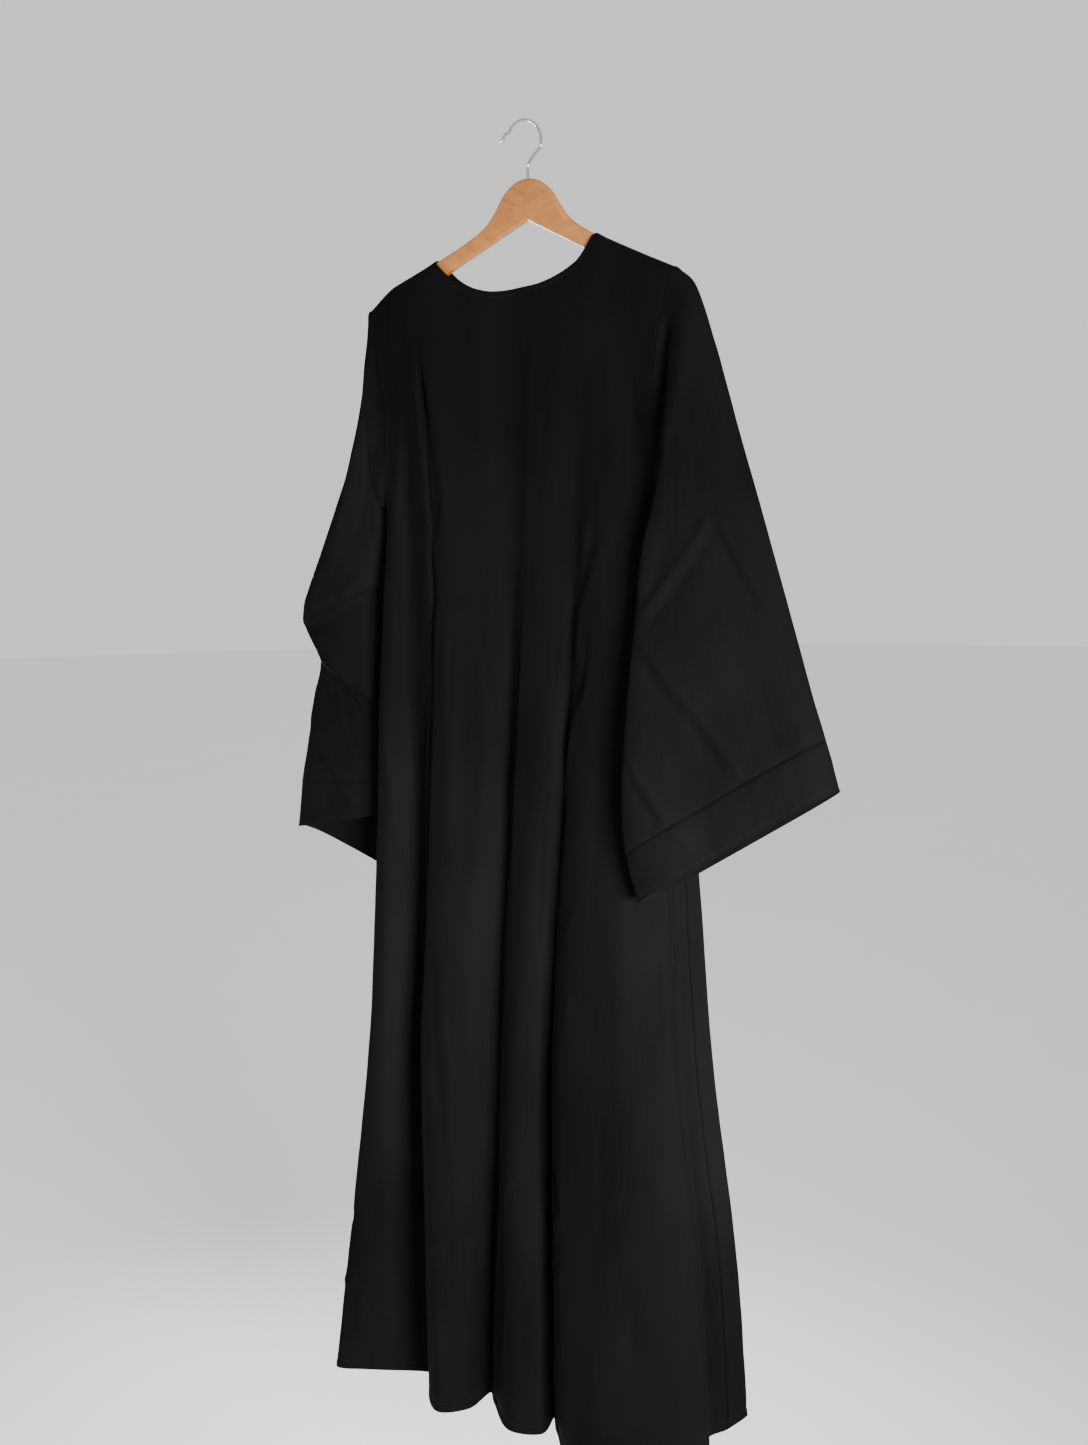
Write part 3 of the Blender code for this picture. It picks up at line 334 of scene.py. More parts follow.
BACK_CREASES = (
    crease([(-160, -270), (-164, -400), (-176, -540)], 9, 16, 1.9, 3),
    crease([(-104, -250), (-100, -380), (-106, -520)], 14, 16, -1.3, 8),
    crease([(-10, -235), (-12, -360), (-14, -500), (-12, -620)], 8, 20, 2.0, 3),
    crease([(62, -250), (66, -380), (70, -530)], 16, 14, -1.2, 8),
    crease([(132, -270), (142, -400), (152, -540)], 14, 9, 1.8, 3),
    crease([(-180, -640), (-194, -860), (-204, -1080)], 6, 15, 2.2, 2),
    crease([(-110, -600), (-118, -820), (-124, -1040), (-130, -1250)], 6, 16, 2.4, 2),
    crease([(-128, -760), (-136, -930), (-142, -1120)], 8, 8, -1.5, 4),
    crease([(-46, -590), (-48, -800), (-50, -1010), (-52, -1240)], 15, 6, 2.3, 2),
    crease([(-28, -700), (-30, -900), (-32, -1080)], 8, 9, -1.5, 4),
    crease([(26, -610), (30, -830), (32, -1050), (34, -1300)], 6, 15, 2.3, 2),
    crease([(98, -600), (108, -800), (114, -1020), (121, -1260)], 14, 6, 2.4, 2),
    crease([(80, -740), (88, -940), (92, -1090)], 8, 8, -1.4, 4),
    crease([(166, -620), (182, -840), (194, -1060), (206, -1290)], 6, 14, 2.2, 2),
    crease([(-140, -588), (-70, -584), (-10, -580)], 4, 4, -1.3, 1.5, 0.2),
    crease([(30, -582), (90, -586), (150, -592)], 4, 4, -1.2, 1.5, 0.2),
    crease([(150, -520), (138, -556), (128, -600)], 6, 9, 1.6, 2),
    crease([(-142, -516), (-128, -552), (-122, -604)], 9, 6, 1.6, 2),
    crease([(-228, -1180), (-234, -1300), (-240, -1420)], 8, 12, 1.4, 4),
    crease([(236, -1140), (248, -1280), (258, -1400)], 12, 8, 1.4, 4),
    crease([(-206, -1372), (-188, -1404), (-176, -1440)], 6, 8, 1.7, 2),
    crease([(-150, -1420), (-126, -1452), (-112, -1490)], 6, 7, 1.6, 2),
    crease([(-96, -1370), (-84, -1420), (-92, -1480)], 6, 8, 1.4, 3),
    crease([(-44, -1440), (-22, -1474), (-6, -1516)], 6, 8, 1.7, 2),
    crease([(20, -1392), (42, -1420), (58, -1462)], 7, 6, 1.6, 2),
    crease([(92, -1450), (112, -1486), (104, -1540)], 6, 8, 1.6, 2),
    crease([(150, -1400), (176, -1430), (196, -1474)], 6, 8, 1.6, 2),
    crease([(226, -1450), (232, -1510), (222, -1570)], 7, 9, 1.4, 3),
    crease([(-250, -1500), (-240, -1560), (-252, -1620)], 7, 9, 1.4, 3),
    crease([(-164, -1530), (-150, -1580), (-158, -1636)], 8, 8, 1.4, 3),
    crease([(-40, -1560), (-30, -1600), (-36, -1640)], 7, 8, 1.3, 3),
    crease([(60, -1530), (72, -1580), (62, -1632)], 8, 7, 1.4, 3),
    crease([(146, -1540), (158, -1580), (150, -1626)], 7, 8, 1.3, 3),
)

RIGHT_SLEEVE_FRONT = (
    # The pressed square of the folded sleeve, its corner up
    crease([(298, -470), (276, -513), (243, -562), (214, -600)], 6, 9, 2.6, 1.5, 0.15),
    crease([(304, -486), (284, -526), (252, -574), (222, -612)], 8, 8, -1.6, 3, 0.2),
    crease([(298, -468), (326, -516), (354, -568), (385, -628)], 6, 6, 1.9, 1.5, 0.15),
    crease([(296, -482), (319, -522), (349, -574), (378, -622)], 5, 5, -1.3, 1.5, 0.2),
    crease([(208, -614), (239, -644), (265, -677), (294, -707), (346, -776), (399, -815)],
           7, 7, 2.3, 1.5, 0.15),
    crease([(206, -626), (233, -658), (258, -690), (288, -722), (336, -784)], 8, 7, -1.7, 3, 0.2),
    crease([(204, -750), (222, -780), (244, -806), (262, -836), (300, -866)], 7, 7, 2.2, 1.5, 0.15),
    crease([(206, -764), (218, -792), (238, -818), (256, -848)], 7, 6, -1.6, 3, 0.2),
    # The fall beside the armhole
    crease([(224, -217), (218, -249), (213, -282), (216, -340), (222, -400)], 6, 7, -1.9, 3),
    crease([(232, -236), (230, -300), (234, -370), (240, -430)], 7, 10, 1.7, 3),
    crease([(256, -260), (262, -340), (268, -420)], 14, 16, -1.2, 8),
    crease([(214, -470), (214, -520), (208, -580)], 8, 12, 1.5, 4),
    crease([(240, -500), (236, -540), (224, -590)], 8, 8, -1.3, 4),
    crease([(330, -450), (344, -520), (366, -590)], 14, 12, -1.3, 8),
    crease([(300, -580), (312, -630), (330, -680)], 18, 18, 1.2, 10),
    crease([(356, -660), (372, -710), (388, -750)], 14, 14, -1.2, 8),
    crease([(236, -700), (250, -740), (270, -780)], 16, 16, 1.2, 9),
    crease([(402, -700), (412, -740), (424, -776)], 8, 8, 1.2, 4),
)

RIGHT_SLEEVE_BACK = (
    crease([(300, -480), (272, -530), (236, -580)], 6, 9, 2.2, 2, 0.2),
    crease([(300, -478), (330, -530), (366, -600)], 6, 6, 1.8, 2, 0.2),
    crease([(214, -620), (258, -668), (306, -724), (366, -790)], 7, 7, 2.2, 2, 0.2),
    crease([(214, -760), (246, -808), (286, -860)], 7, 7, 1.9, 2, 0.2),
    crease([(236, -250), (232, -330), (240, -420)], 9, 12, 1.8, 4),
    crease([(262, -280), (272, -370), (280, -450)], 12, 14, -1.4, 8),
    crease([(330, -640), (352, -690), (376, -740)], 12, 14, -1.4, 8),
)

LEFT_SLEEVE_FRONT = (
    crease([(-283, -424), (-310, -517), (-325, -570)], 10, 8, 1.5, 3),
    crease([(-251, -372), (-271, -463), (-287, -543)], 8, 8, -1.6, 3),
    crease([(-238, -420), (-253, -490), (-263, -541)], 6, 7, 1.6, 2),
    crease([(-262, -300), (-272, -372), (-290, -440)], 8, 10, 1.2, 4),
    crease([(-330, -545), (-350, -590), (-364, -622)], 8, 10, 1.6, 3),
    crease([(-316, -596), (-296, -584), (-267, -556)], 6, 6, 1.8, 2),
    crease([(-336, -665), (-308, -706), (-281, -761)], 5, 9, 2.2, 1.5, 0.2),
    crease([(-373, -770), (-352, -806), (-335, -830), (-315, -858), (-297, -889)], 6, 7, 2.0, 1.5, 0.2),
    crease([(-366, -790), (-346, -822), (-328, -846)], 6, 6, -1.3, 3, 0.2),
    crease([(-336, -721), (-305, -750), (-278, -771)], 7, 7, 1.3, 2),
    crease([(-278, -722), (-262, -742), (-238, -752)], 5, 6, 1.5, 2),
    crease([(-360, -700), (-366, -740), (-376, -780)], 8, 8, 1.2, 4),
)

LEFT_SLEEVE_BACK = (
    crease([(-282, -430), (-306, -510), (-330, -580)], 9, 8, 1.7, 3),
    crease([(-256, -400), (-268, -470), (-280, -540)], 8, 8, -1.5, 3),
    crease([(-340, -700), (-316, -760), (-290, -820)], 7, 8, 1.9, 2, 0.2),
    crease([(-372, -800), (-346, -840), (-318, -880)], 6, 7, 1.8, 2, 0.2),
    crease([(-262, -620), (-258, -700), (-250, -780)], 10, 12, 1.6, 4),
)


def ease(values):
    values = np.clip(values, 0.0, 1.0)
    return values * values * (3.0 - 2.0 * values)


def dome(shares):
    """A quarter circle that rises from 0 to 1 as its share goes from 0 to 1."""
    return np.sqrt(1.0 - (1.0 - np.clip(shares, 0.0, 1.0)) ** 2)


def smooth(knots, values, place):
    """Value at place on a smooth curve through the values, which stand at rising knots."""
    place = min(max(place, knots[0]), knots[-1])
    i = min(bisect.bisect_right(knots, place), len(knots) - 1) - 1

    def slope(k):
        low, high = max(k - 1, 0), min(k + 1, len(knots) - 1)
        return (values[high] - values[low]) / (knots[high] - knots[low])

    step = knots[i + 1] - knots[i]
    t = (place - knots[i]) / step
    start = (1.0 + 2.0 * t) * (1.0 - t) ** 2 * values[i] + t * t * (3.0 - 2.0 * t) * values[i + 1]
    return start + t * (1.0 - t) * step * ((1.0 - t) * slope(i) - t * slope(i + 1))


def curve(before, start, end, after, share):
    """Points on centripetal curves, each at a share of the way from start to end."""

    def reach(a, b):
        return np.sqrt(np.maximum(np.linalg.norm(b - a, axis=-1, keepdims=True), 1e-6))

    k1 = reach(before, start)
    k2 = k1 + reach(start, end)
    k3 = k2 + reach(end, after)
    k = k1 + share * (k2 - k1)
    a1 = before + (start - before) * k / k1
    a2 = start + (end - start) * (k - k1) / (k2 - k1)
    a3 = end + (after - end) * (k - k2) / (k3 - k2)
    b1 = a1 + (a2 - a1) * k / k2
    b2 = a2 + (a3 - a2) * (k - k1) / (k3 - k1)
    return b1 + (b2 - b1) * (k - k1) / (k2 - k1)


def through(points, counts):
    """Points on the curve through the points, at running counts of its segments. Each end has one more."""
    segments = np.minimum(counts.astype(int), len(points) - 4)
    shares = (counts - segments)[:, None]
    return curve(*(points[segments + k] for k in range(4)), shares)


def fold_at(fold, z):
    """Where a fold lies at height z, as (x, y)."""
    knots = [-level for level in (*LEVELS, fold.hem[2])]
    places = [np.array(place[:2], float) for place in fold[1:]]
    return smooth(knots, places, -z)


def near_neck(x):
    """1 at a neck point, 0 away from it."""
    return ease(1.0 - np.minimum(np.abs(x - NECK_LEFT), np.abs(x - NECK_RIGHT)) / NECK_SPREAD)


def ridge_height(x):
    """Height of the cloth's ridge over the hanger, which the shoulder seam follows."""
    if x < PAST_TIP_X[-1]:
        return smooth(PAST_TIP_X, PAST_TIP_Z, x)
    crest = smooth(CREST_AT, CREST_Z, abs(x - HANGER_CENTRE))
    return crest + CREST_GAP + BODY_WALL / 2 + NECK_LIFT * float(near_neck(x))


RIDGE_X = np.arange(-330.0, 331.0, 0.5)
RIDGE_Z = np.array([ridge_height(x) for x in RIDGE_X])


def shoulder_z(x):
    return np.interp(x, RIDGE_X, RIDGE_Z)


def top_z(x, lower):
    """Top edge of a body panel: the shoulder seam, or the neckline between the neck points."""
    if x <= NECK_LEFT or x >= NECK_RIGHT:
        return float(shoulder_z(x))
    across = (x - NECK_LEFT) / (NECK_RIGHT - NECK_LEFT)
    return smooth(NECKLINE_X, NECKLINE_Z, x) - lower * math.sin(math.pi * across) ** 0.5


def shoulder_top(side):
    """Height of the armhole's top."""
    return ridge_height(GARMENT_CENTRE + side * ARMHOLE_HALVES[0])


def edge_x(side, z):
    """The body's edge: the armhole, and the side seam below the underarm."""
    if z > UNDERARM_Z:
        top = shoulder_top(side)
        share = min(max((top - z) / (top - UNDERARM_Z), 0.0), 1.0)
        return GARMENT_CENTRE + side * smooth(ARMHOLE_SHARES, ARMHOLE_HALVES, share)
    seam = LEFT_SEAM if side < 0 else RIGHT_SEAM
    underarm = GARMENT_CENTRE + side * ARMHOLE_HALVES[-1]
    if z > LEVELS[1]:
        turned = float(ease((UNDERARM_Z - z) / (UNDERARM_Z - LEVELS[1])))
        return underarm + (seam.waist[0] - underarm) * turned
    return fold_at(seam, z)[0]


def gape(z):
    """Half the armhole's opening at height z, without the turn over the shoulder."""
    return FRONT_DEPTH * float(dome((z - UNDERARM_Z) / ARMHOLE_ROUND))


def controls_at(folds, facing, z):
    """A panel's control points at height z, from its left edge to its right one."""
    chest = LEVELS[0]
    depth = FRONT_DEPTH if facing < 0 else BACK_DEPTH
    left_edge, right_edge = edge_x(-1, z), edge_x(1, z)
    first, last = folds[0].chest[0], folds[-1].chest[0]
    points = []
    for fold in folds:
        if z <= chest:
            points.append(fold_at(fold, z))
            continue
        x, y = fold.chest
        across = (x - first) / (last - first)
        flat = float(ease((z - chest) / 130.0))
        spread_x = left_edge + across * (right_edge - left_edge)
        points.append(np.array((spread_x, y + (facing * depth - y) * flat)))
    points[0] = np.array((left_edge, points[0][1] if z < UNDERARM_Z else facing * gape(z)))
    points[-1] = np.array((right_edge, points[-1][1] if z < UNDERARM_Z else facing * gape(z)))
    return points


def section(folds, facing, z):
    """The control points with one more at each end, which sets how the section meets its seams."""
    own = controls_at(folds, facing, z)
    other = controls_at(BACK_FOLDS if facing < 0 else FRONT_FOLDS, -facing, z)
    turned = float(ease((UNDERARM_Z + UNDERARM_TURN - z) / UNDERARM_TURN))
    ends = []
    for edge, neighbour, sign in ((own[0], other[1], -1), (own[-1], other[-2], 1)):
        straight = edge + np.array((sign * 8.0, 0.0))
        ends.append(straight + (neighbour - straight) * turned)
    return np.array([ends[0], *own, ends[1]])


def seam_direction(folds, facing, z, left):
    """Unit vector in the section that leads from a seam into its panel."""
    last = len(folds) - 1.0
    counts = np.array((0.0, 0.03) if left else (last, last - 0.03))
    start, inside = through(section(folds, facing, z), counts)
    return (inside - start) / np.linalg.norm(inside - start)


def hem_line(folds):
    """The hem's control points with one more at each end."""
    points = [np.array(fold.hem, float) for fold in folds]
    return np.array([2 * points[0] - points[1], *points, 2 * points[-1] - points[-2]])


def column_counts(folds, facing, most_width):
    """Running count of each grid column, with columns moved onto the neck points and just inside them."""
    counts = []
    for segment in range(len(folds) - 1):
        number = max(1, math.ceil(math.dist(folds[segment].hem, folds[segment + 1].hem) / most_width))
        counts += [segment + k / number for k in range(number)]
    counts = np.array(counts + [len(folds) - 1.0])
    fine = np.linspace(0.0, len(folds) - 1.0, 4000)
    for neck, inward in ((NECK_RIGHT, -1), (NECK_LEFT, 1)):
        points = section(folds, facing, ridge_height(neck))
        own = through(points, counts)[:, 0]
        many = through(points, fine)[:, 0]
        nearest = int(np.argmin(np.abs(own - neck)))
        for step, reach in enumerate((0.0, *NECK_STRIPS)):
            counts[nearest + inward * step] = np.interp(neck + inward * reach, many, fine)
    return counts


def panel_grid(folds, facing, most_width, lower):
    """A body panel's points in millimetres, as rows from its top edge to the hem."""
    counts = column_counts(folds, facing, most_width)
    hem = through(hem_line(folds), counts)[:, 2]
    levels = np.arange(-100.0, min(hem) - LEVEL_STEP, -LEVEL_STEP)
    sections = np.array([through(section(folds, facing, z), counts) for z in levels])
    columns = []
    for column, low in enumerate(hem):
        xs, ys = sections[::-1, column, 0], sections[::-1, column, 1]
        rising = levels[::-1]
        top = -200.0
        for _ in range(8):
            top = top_z(float(np.interp(top, rising, xs)), lower)
        crest = top - SHOULDER_ROUND * (1.0 - np.cos(np.radians(CREST_ANGLES)))
        armhole = np.linspace(crest[-1], UNDERARM_Z, ARMHOLE_ROWS + 1)[1:]
        skirt = np.linspace(UNDERARM_Z, low + HEM_ROWS[0], SKIRT_ROWS + 1)[1:-1]
        z = np.concatenate((crest, armhole, skirt, low + np.array(HEM_ROWS)))
        x, y = np.interp(z, rising, xs), np.interp(z, rising, ys)
        y = y * dome((shoulder_z(x) - z) / SHOULDER_ROUND)
        seam = SEAM_GAP * (1.0 + 1.6 * near_neck(x)) / 2
        y = np.where(z > UNDERARM_Z, facing * np.maximum(facing * y, seam), y)
        columns.append(np.stack((x, y, z), axis=1))
    grid = np.stack(columns, axis=1)
    for edge, left in ((0, True), (-1, False)):
        for point in grid[:, edge]:
            if point[2] < UNDERARM_Z + 1.0:
                gap = UNDERARM_GAP if abs(point[2] - UNDERARM_Z) < 1.0 else -SEWN_OVERLAP
                point[:2] += seam_direction(folds, facing, point[2], left) * gap / 2
    return grid


def armhole_points(side, facing, shares, out):
    """Points on the armhole's edge, moved out from the panel by this much, in the panel's own direction."""
    top = shoulder_top(side)
    folds = FRONT_FOLDS if facing < 0 else BACK_FOLDS
    points = []
    for share in shares:
        z = top + (UNDERARM_Z - top) * share
        outward = -seam_direction(folds, facing, z, side < 0)
        if share in (0.0, 1.0):
            outward = np.array((side, 0.0))
        turn = float(dome((top - z) / SHOULDER_ROUND))
        place = np.array((edge_x(side, z), facing * gape(z) * turn))
        place += outward * (out + UNDERARM_LIFT * float(ease((share - 0.9) / 0.1)))
        points.append((*place, max(z, UNDERARM_Z + UNDERARM_LIFT)))
    return np.array(points)


def sleeve_shares(side):
    """Shares of the armhole's height at which a sleeve has its columns."""
    top = shoulder_top(side)
    crest = SHOULDER_ROUND * (1.0 - np.cos(np.radians(CREST_ANGLES))) / (top - UNDERARM_Z)
    return np.concatenate((crest, np.linspace(crest[-1], 1.0, SLEEVE_COLUMNS - len(crest) + 1)[1:]))


def layer_offset(share, reach):
    """How far a sleeve's layer stands off, 1 in the middle of its reach and little past it."""
    bulge = np.sqrt(1.0 - np.abs(2.0 * np.clip(share / reach, 0.0, 1.0) - 1.0) ** 4)
    flat = np.where(share > reach / 2, 0.16 * np.sqrt(1.0 - share), 0.0)
    return np.maximum(bulge, flat)


def sleeve_ring(ring, shares):
    """Points round one ring of a sleeve: the front layer from its outer fold in, then the back one."""
    outer, inner = np.array(ring.outer, float), np.array(ring.inner, float)
    layers = []
    for facing, off, reach, rise, steps in (
        (-1, ring.front, ring.front_reach, ring.front_rise, shares),
        (1, ring.back, 1.0, ring.back_rise, shares[-2:0:-1]),
    ):
        points = outer + (inner - outer) * steps[:, None]
        points[:, 1] += facing * off * layer_offset(steps, reach)
        points[:, 2] += rise * steps * (1.0 - ease((steps - 0.82) / 0.18))
        layers.append(points)
    return np.concatenate(layers)


def sleeve_grids(side, table):
    """Rows of points of a sleeve and of its cuff band, in millimetres."""
    shares = sleeve_shares(side)
    back = shares[-2:0:-1]
    stations = []
    for out in (ARMHOLE_GAP, ARMHOLE_GAP + SEAM_STRAIGHT):
        front_edge, back_edge = armhole_points(side, -1, shares, out), armhole_points(side, 1, back, out)
        stations.append(np.concatenate((front_edge, back_edge)))
    rings = [sleeve_ring(ring, shares) for ring in table]
    groove = stations[1] + (rings[0] - stations[1]) * GROOVE_AT
    start, end = GROOVE_ENDS
    sunk = GROOVES[side] * ease((shares[:-1] - start) / 0.12) * ease((end - shares[:-1]) / 0.25)
    groove[: len(sunk), 1] *= 1.0 - sunk
    stations += [groove, *rings]
    path = [2 * stations[0] - stations[1], *stations, 2 * stations[-1] - stations[-2]]
    names = ["armhole", "armhole edge", "groove"] + [ring.name for ring in table]
    rows, cuff_row = [], 0
    for k in range(len(stations) - 1):
        longest = np.linalg.norm(stations[k + 1] - stations[k], axis=1).max()
        count = max(1, math.ceil(longest / SLEEVE_STEP))
        steps = [step / count for step in range(count)]
        if names[k] == "band seam":
            cuff_row = len(rows)
            steps += [1.0 - above / longest for above in CUFF_ROWS]
            steps = sorted({round(step, 4) for step in steps})
        rows += [curve(*path[k : k + 4], step) for step in steps]
    rows.append(stations[-1])
    seam = rows[cuff_row]
    before, after = rows[cuff_row - 1], rows[cuff_row + 1]
    upper = rows[:cuff_row] + [moved_towards(seam, before, CUFF_GAP / 2)]
    band = [moved_towards(seam, after, CUFF_GAP / 2)] + rows[cuff_row + 1 :]
    return np.array(upper), np.array(band), len(shares)


def moved_towards(row, other, distance):
    step = other - row
    return row + step / np.linalg.norm(step, axis=1, keepdims=True) * distance


def outward_normals(grid, closed):
    """Unit normal at each point of a grid, to the side of rows times columns."""
    if closed:
        across = np.roll(grid, -1, axis=1) - np.roll(grid, 1, axis=1)
    else:
        across = np.gradient(grid, axis=1)
    normals = np.cross(across, np.gradient(grid, axis=0))
    return normals / np.maximum(np.linalg.norm(normals, axis=2, keepdims=True), 1e-9)


def arc_lengths(grid, axis):
    """Distance along the cloth from the first row or column, in the grid's own unit."""
    steps = np.linalg.norm(np.diff(grid, axis=axis), axis=2)
    start = np.zeros_like(np.take(steps, [0], axis=axis))
    return np.cumsum(np.concatenate((start, steps), axis=axis), axis=axis)


def crease_relief(u, z, lines, strength):
    """How far creases push the cloth out at each point, with their lines in the points' own (u, z)."""
    relief = np.zeros_like(u)
    for one, line in lines:
        widest = 5.0 * max(one.left, one.right)
        low, high = line.min(axis=0) - widest, line.max(axis=0) + widest
        near = (u > low[0]) & (u < high[0]) & (z > low[1]) & (z < high[1])
        if not near.any():
            continue
        points = np.stack((u[near], z[near]), axis=1)
        lengths = np.linalg.norm(np.diff(line, axis=0), axis=1)
        starts = np.concatenate(([0.0], np.cumsum(lengths)))
        best = np.full(len(points), 1e9)
        along = np.zeros(len(points))
        side = np.zeros(len(points))
        for k, length in enumerate(lengths):
            heading = (line[k + 1] - line[k]) / length
            rest = points - line[k]
            t = np.clip(rest @ heading, 0.0, length)
            gap = rest - t[:, None] * heading
            distance = np.linalg.norm(gap, axis=1)
            closer = distance < best
            best = np.where(closer, distance, best)
            along = np.where(closer, (starts[k] + t) / starts[-1], along)
            side = np.where(closer, heading[1] * gap[:, 0] - heading[0] * gap[:, 1], side)
        steep = heading_sign(line) * side
        blend = ease(0.5 + steep / (2.0 * one.soft + 1e-6))
        width = one.left + (one.right - one.left) * blend
        fall = np.exp(-(np.sqrt(best**2 + one.soft**2) - one.soft) / width * 1.25)
        taper = ease(along / one.fade) * ease((1.0 - along) / one.fade)
        relief[near] += strength * one.depth * fall * taper
    return relief


def heading_sign(line):
    """1 where the right of a line, as it is drawn, is the side of rising x."""
    fall = line[-1] - line[0]
    return -1.0 if abs(fall[1]) >= abs(fall[0]) and fall[1] < 0 else 1.0


def soft_waves(u, z, seed, size, stretch):
    """Slow uneven waves of about 1, longer down the cloth than across it."""
    flat = [
        noise.noise(Vector((a / size, b / (size * stretch), seed))) for a, b in zip(u.ravel(), z.ravel())
    ]
    return np.array(flat).reshape(u.shape)


def seam_pucker(along, distance, seed):
    """Small gathers beside a line of stitches, gone on the line itself and a finger's width from it."""
    wave = np.sin(along / 3.1 + seed) + 0.7 * np.sin(along / 4.7 + 2.3 * seed)
    wave += 0.5 * np.sin(along / 8.9 + seed)
    away = np.abs(distance)
    return wave * away / 4.0 * np.exp(1.0 - away / 4.0) * (1.0 - ease(away / 24.0))


def panel_relief(grid, creases, strength, seed):
    """How far each point of a body panel is pushed out of the plain folds, in millimetres."""
    u = arc_lengths(grid, 1)
    u = u - u[:, [u.shape[1] // 2]]
    z = grid[:, :, 2]
    centre_z = z[:, z.shape[1] // 2]
    lines = []
    for one in creases:
        line = one.line.copy()
        for point in line:
            row = int(np.argmin(np.abs(centre_z - point[1])))
            point[0] = np.interp(point[0], np.maximum.accumulate(grid[row, :, 0]), u[row])
        lines.append((one, line))
    relief = crease_relief(u, z, lines, strength)
    below = grid[:1, :, 2] - z
    relief += 0.9 * soft_waves(u, z, seed, 60.0, 3.5) * ease((below - 40.0) / 200.0)
    relief += 0.45 * soft_waves(u, z, seed + 7.0, 17.0, 2.2) * ease((below - 20.0) / 120.0)
    edge = np.minimum(u - u[:, [0]], u[:, [-1]] - u)
    off_seam = ease((edge - 0.5) / 14.0)
    relief *= off_seam * ease((below - 3.0) / 22.0)
    down = arc_lengths(grid, 0)
    relief += 0.28 * seam_pucker(down, edge, seed) * ease((below - 8.0) / 20.0)
    above_hem = z - grid[-1:, :, 2]
    stitched = np.exp(-(((above_hem - 11.2) / 1.6) ** 2))
    turned = 0.3 * seam_pucker(u, above_hem - 11.2, seed + 1.0) * ease(above_hem / 6.0)
    turned += 0.35 * ease((11.0 - above_hem) / 3.0)
    turned -= stitched * (0.55 + 0.2 * np.sin(u / 2.6 + seed))
    relief += turned * off_seam
    neck = (grid[:1, :, 0] > NECK_LEFT + 12.0) & (grid[:1, :, 0] < NECK_RIGHT - 12.0)
    relief -= np.where(neck, 0.3 * np.exp(-(((below - 6.5) / 1.4) ** 2)), 0.0)
    return relief


def sleeve_relief(grid, columns, front, back, strength, seed, seam_rows):
    """How far each point of a sleeve is pushed out, in millimetres. seam_rows says which ends are sewn."""
    relief = np.zeros(grid.shape[:2])
    x, z = grid[:, :, 0], grid[:, :, 2]
    across = np.minimum(np.arange(grid.shape[1]), columns - 1)
    is_front = np.arange(grid.shape[1]) < columns
    for chosen, creases in ((is_front, front), (~is_front, back)):
        lines = [(one, one.line) for one in creases]
        relief[:, chosen] += crease_relief(x[:, chosen], z[:, chosen], lines, strength)
    round_way = np.where(is_front, across, 2 * (columns - 1) - np.arange(grid.shape[1])) / (columns - 1.0)
    fold_edge = np.minimum(round_way, 1.0 - round_way)[None, :]
    relief *= ease(fold_edge / 0.07)
    u, down = arc_lengths(grid, 1), arc_lengths(grid, 0)
    relief += 0.8 * soft_waves(u, down, seed, 45.0, 2.0) * ease(fold_edge / 0.12)
    relief += 0.35 * soft_waves(u, down, seed + 5.0, 15.0, 1.6) * ease(fold_edge / 0.1)
    for sewn, distance in zip(seam_rows, (down, down[-1:] - down)):
        if sewn:
            relief *= ease((distance - 0.4) / 12.0)
            relief += 0.25 * seam_pucker(u, distance, seed) * ease(fold_edge / 0.06)
    return relief


def cuff_relief(grid, seed):
    """Turned edge, seam pucker and slow waves of a cuff band."""
    u, down = arc_lengths(grid, 1), arc_lengths(grid, 0)
    above = down[-1:] - down
    relief = 0.5 * soft_waves(u, down, seed, 40.0, 1.0)
    relief += 0.25 * soft_waves(u, down, seed + 3.0, 14.0, 1.0)
    relief *= ease((down - 0.4) / 12.0)
    relief += 0.3 * seam_pucker(u, down, seed)
    return relief + 0.25 * ease((5.0 - above) / 4.0)


def finished_mesh(name, grid, closed):
    """A mesh from rows of points, with its true size in metres as the UV map."""
    rows, columns = grid.shape[:2]
    across = columns + (1 if closed else 0)
    shape = bmesh.new()
    bmesh.ops.create_grid(shape, x_segments=across - 1, y_segments=rows - 1, size=1.0)
    shape.verts.ensure_lookup_table()
    places = grid * MM
    wide = np.concatenate((grid, grid[:, :1]), axis=1) if closed else grid
    u, v = arc_lengths(wide, 1) * MM, arc_lengths(wide, 0) * MM
    u = u - u[:, [across // 2]]
    layer = shape.loops.layers.uv.new("Cloth")
    shape.verts.index_update()
    for face in shape.faces:
        for loop in face.loops:
            row, column = divmod(loop.vert.index, across)
            loop[layer].uv = (u[row, column], -v[row, column])
    for vertex in shape.verts:
        row, column = divmod(vertex.index, across)
        vertex.co = places[row, column % columns]
    if closed:
        bmesh.ops.remove_doubles(shape, verts=shape.verts, dist=1e-7)
    mesh = bpy.data.meshes.new(name)
    shape.to_mesh(mesh)
    shape.free()
    mesh.shade_smooth()
    return mesh


def add_piece(name, data, finish, slot, *nodes):
    """Link a piece, give it its finish and hide the solids it stands for."""
    piece = bpy.data.objects.new(name, data)
    bpy.context.scene.collection.objects.link(piece)
    data.materials.append(finish)
    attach(piece, "root")
    if nodes:
        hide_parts(*nodes)
    return piece


def cloth_piece(name, grid, wall, finish, closed=False):
    """A wall of cloth on both sides of the points in the grid."""
    piece = add_piece(name + "_cloth", finished_mesh(name + "_cloth", grid, closed), finish, "cloth", name)
    thick = piece.modifiers.new("Cloth wall", "SOLIDIFY")
    thick.thickness = wall
    thick.offset = 0.0
    thick.use_quality_normals = True
    return piece


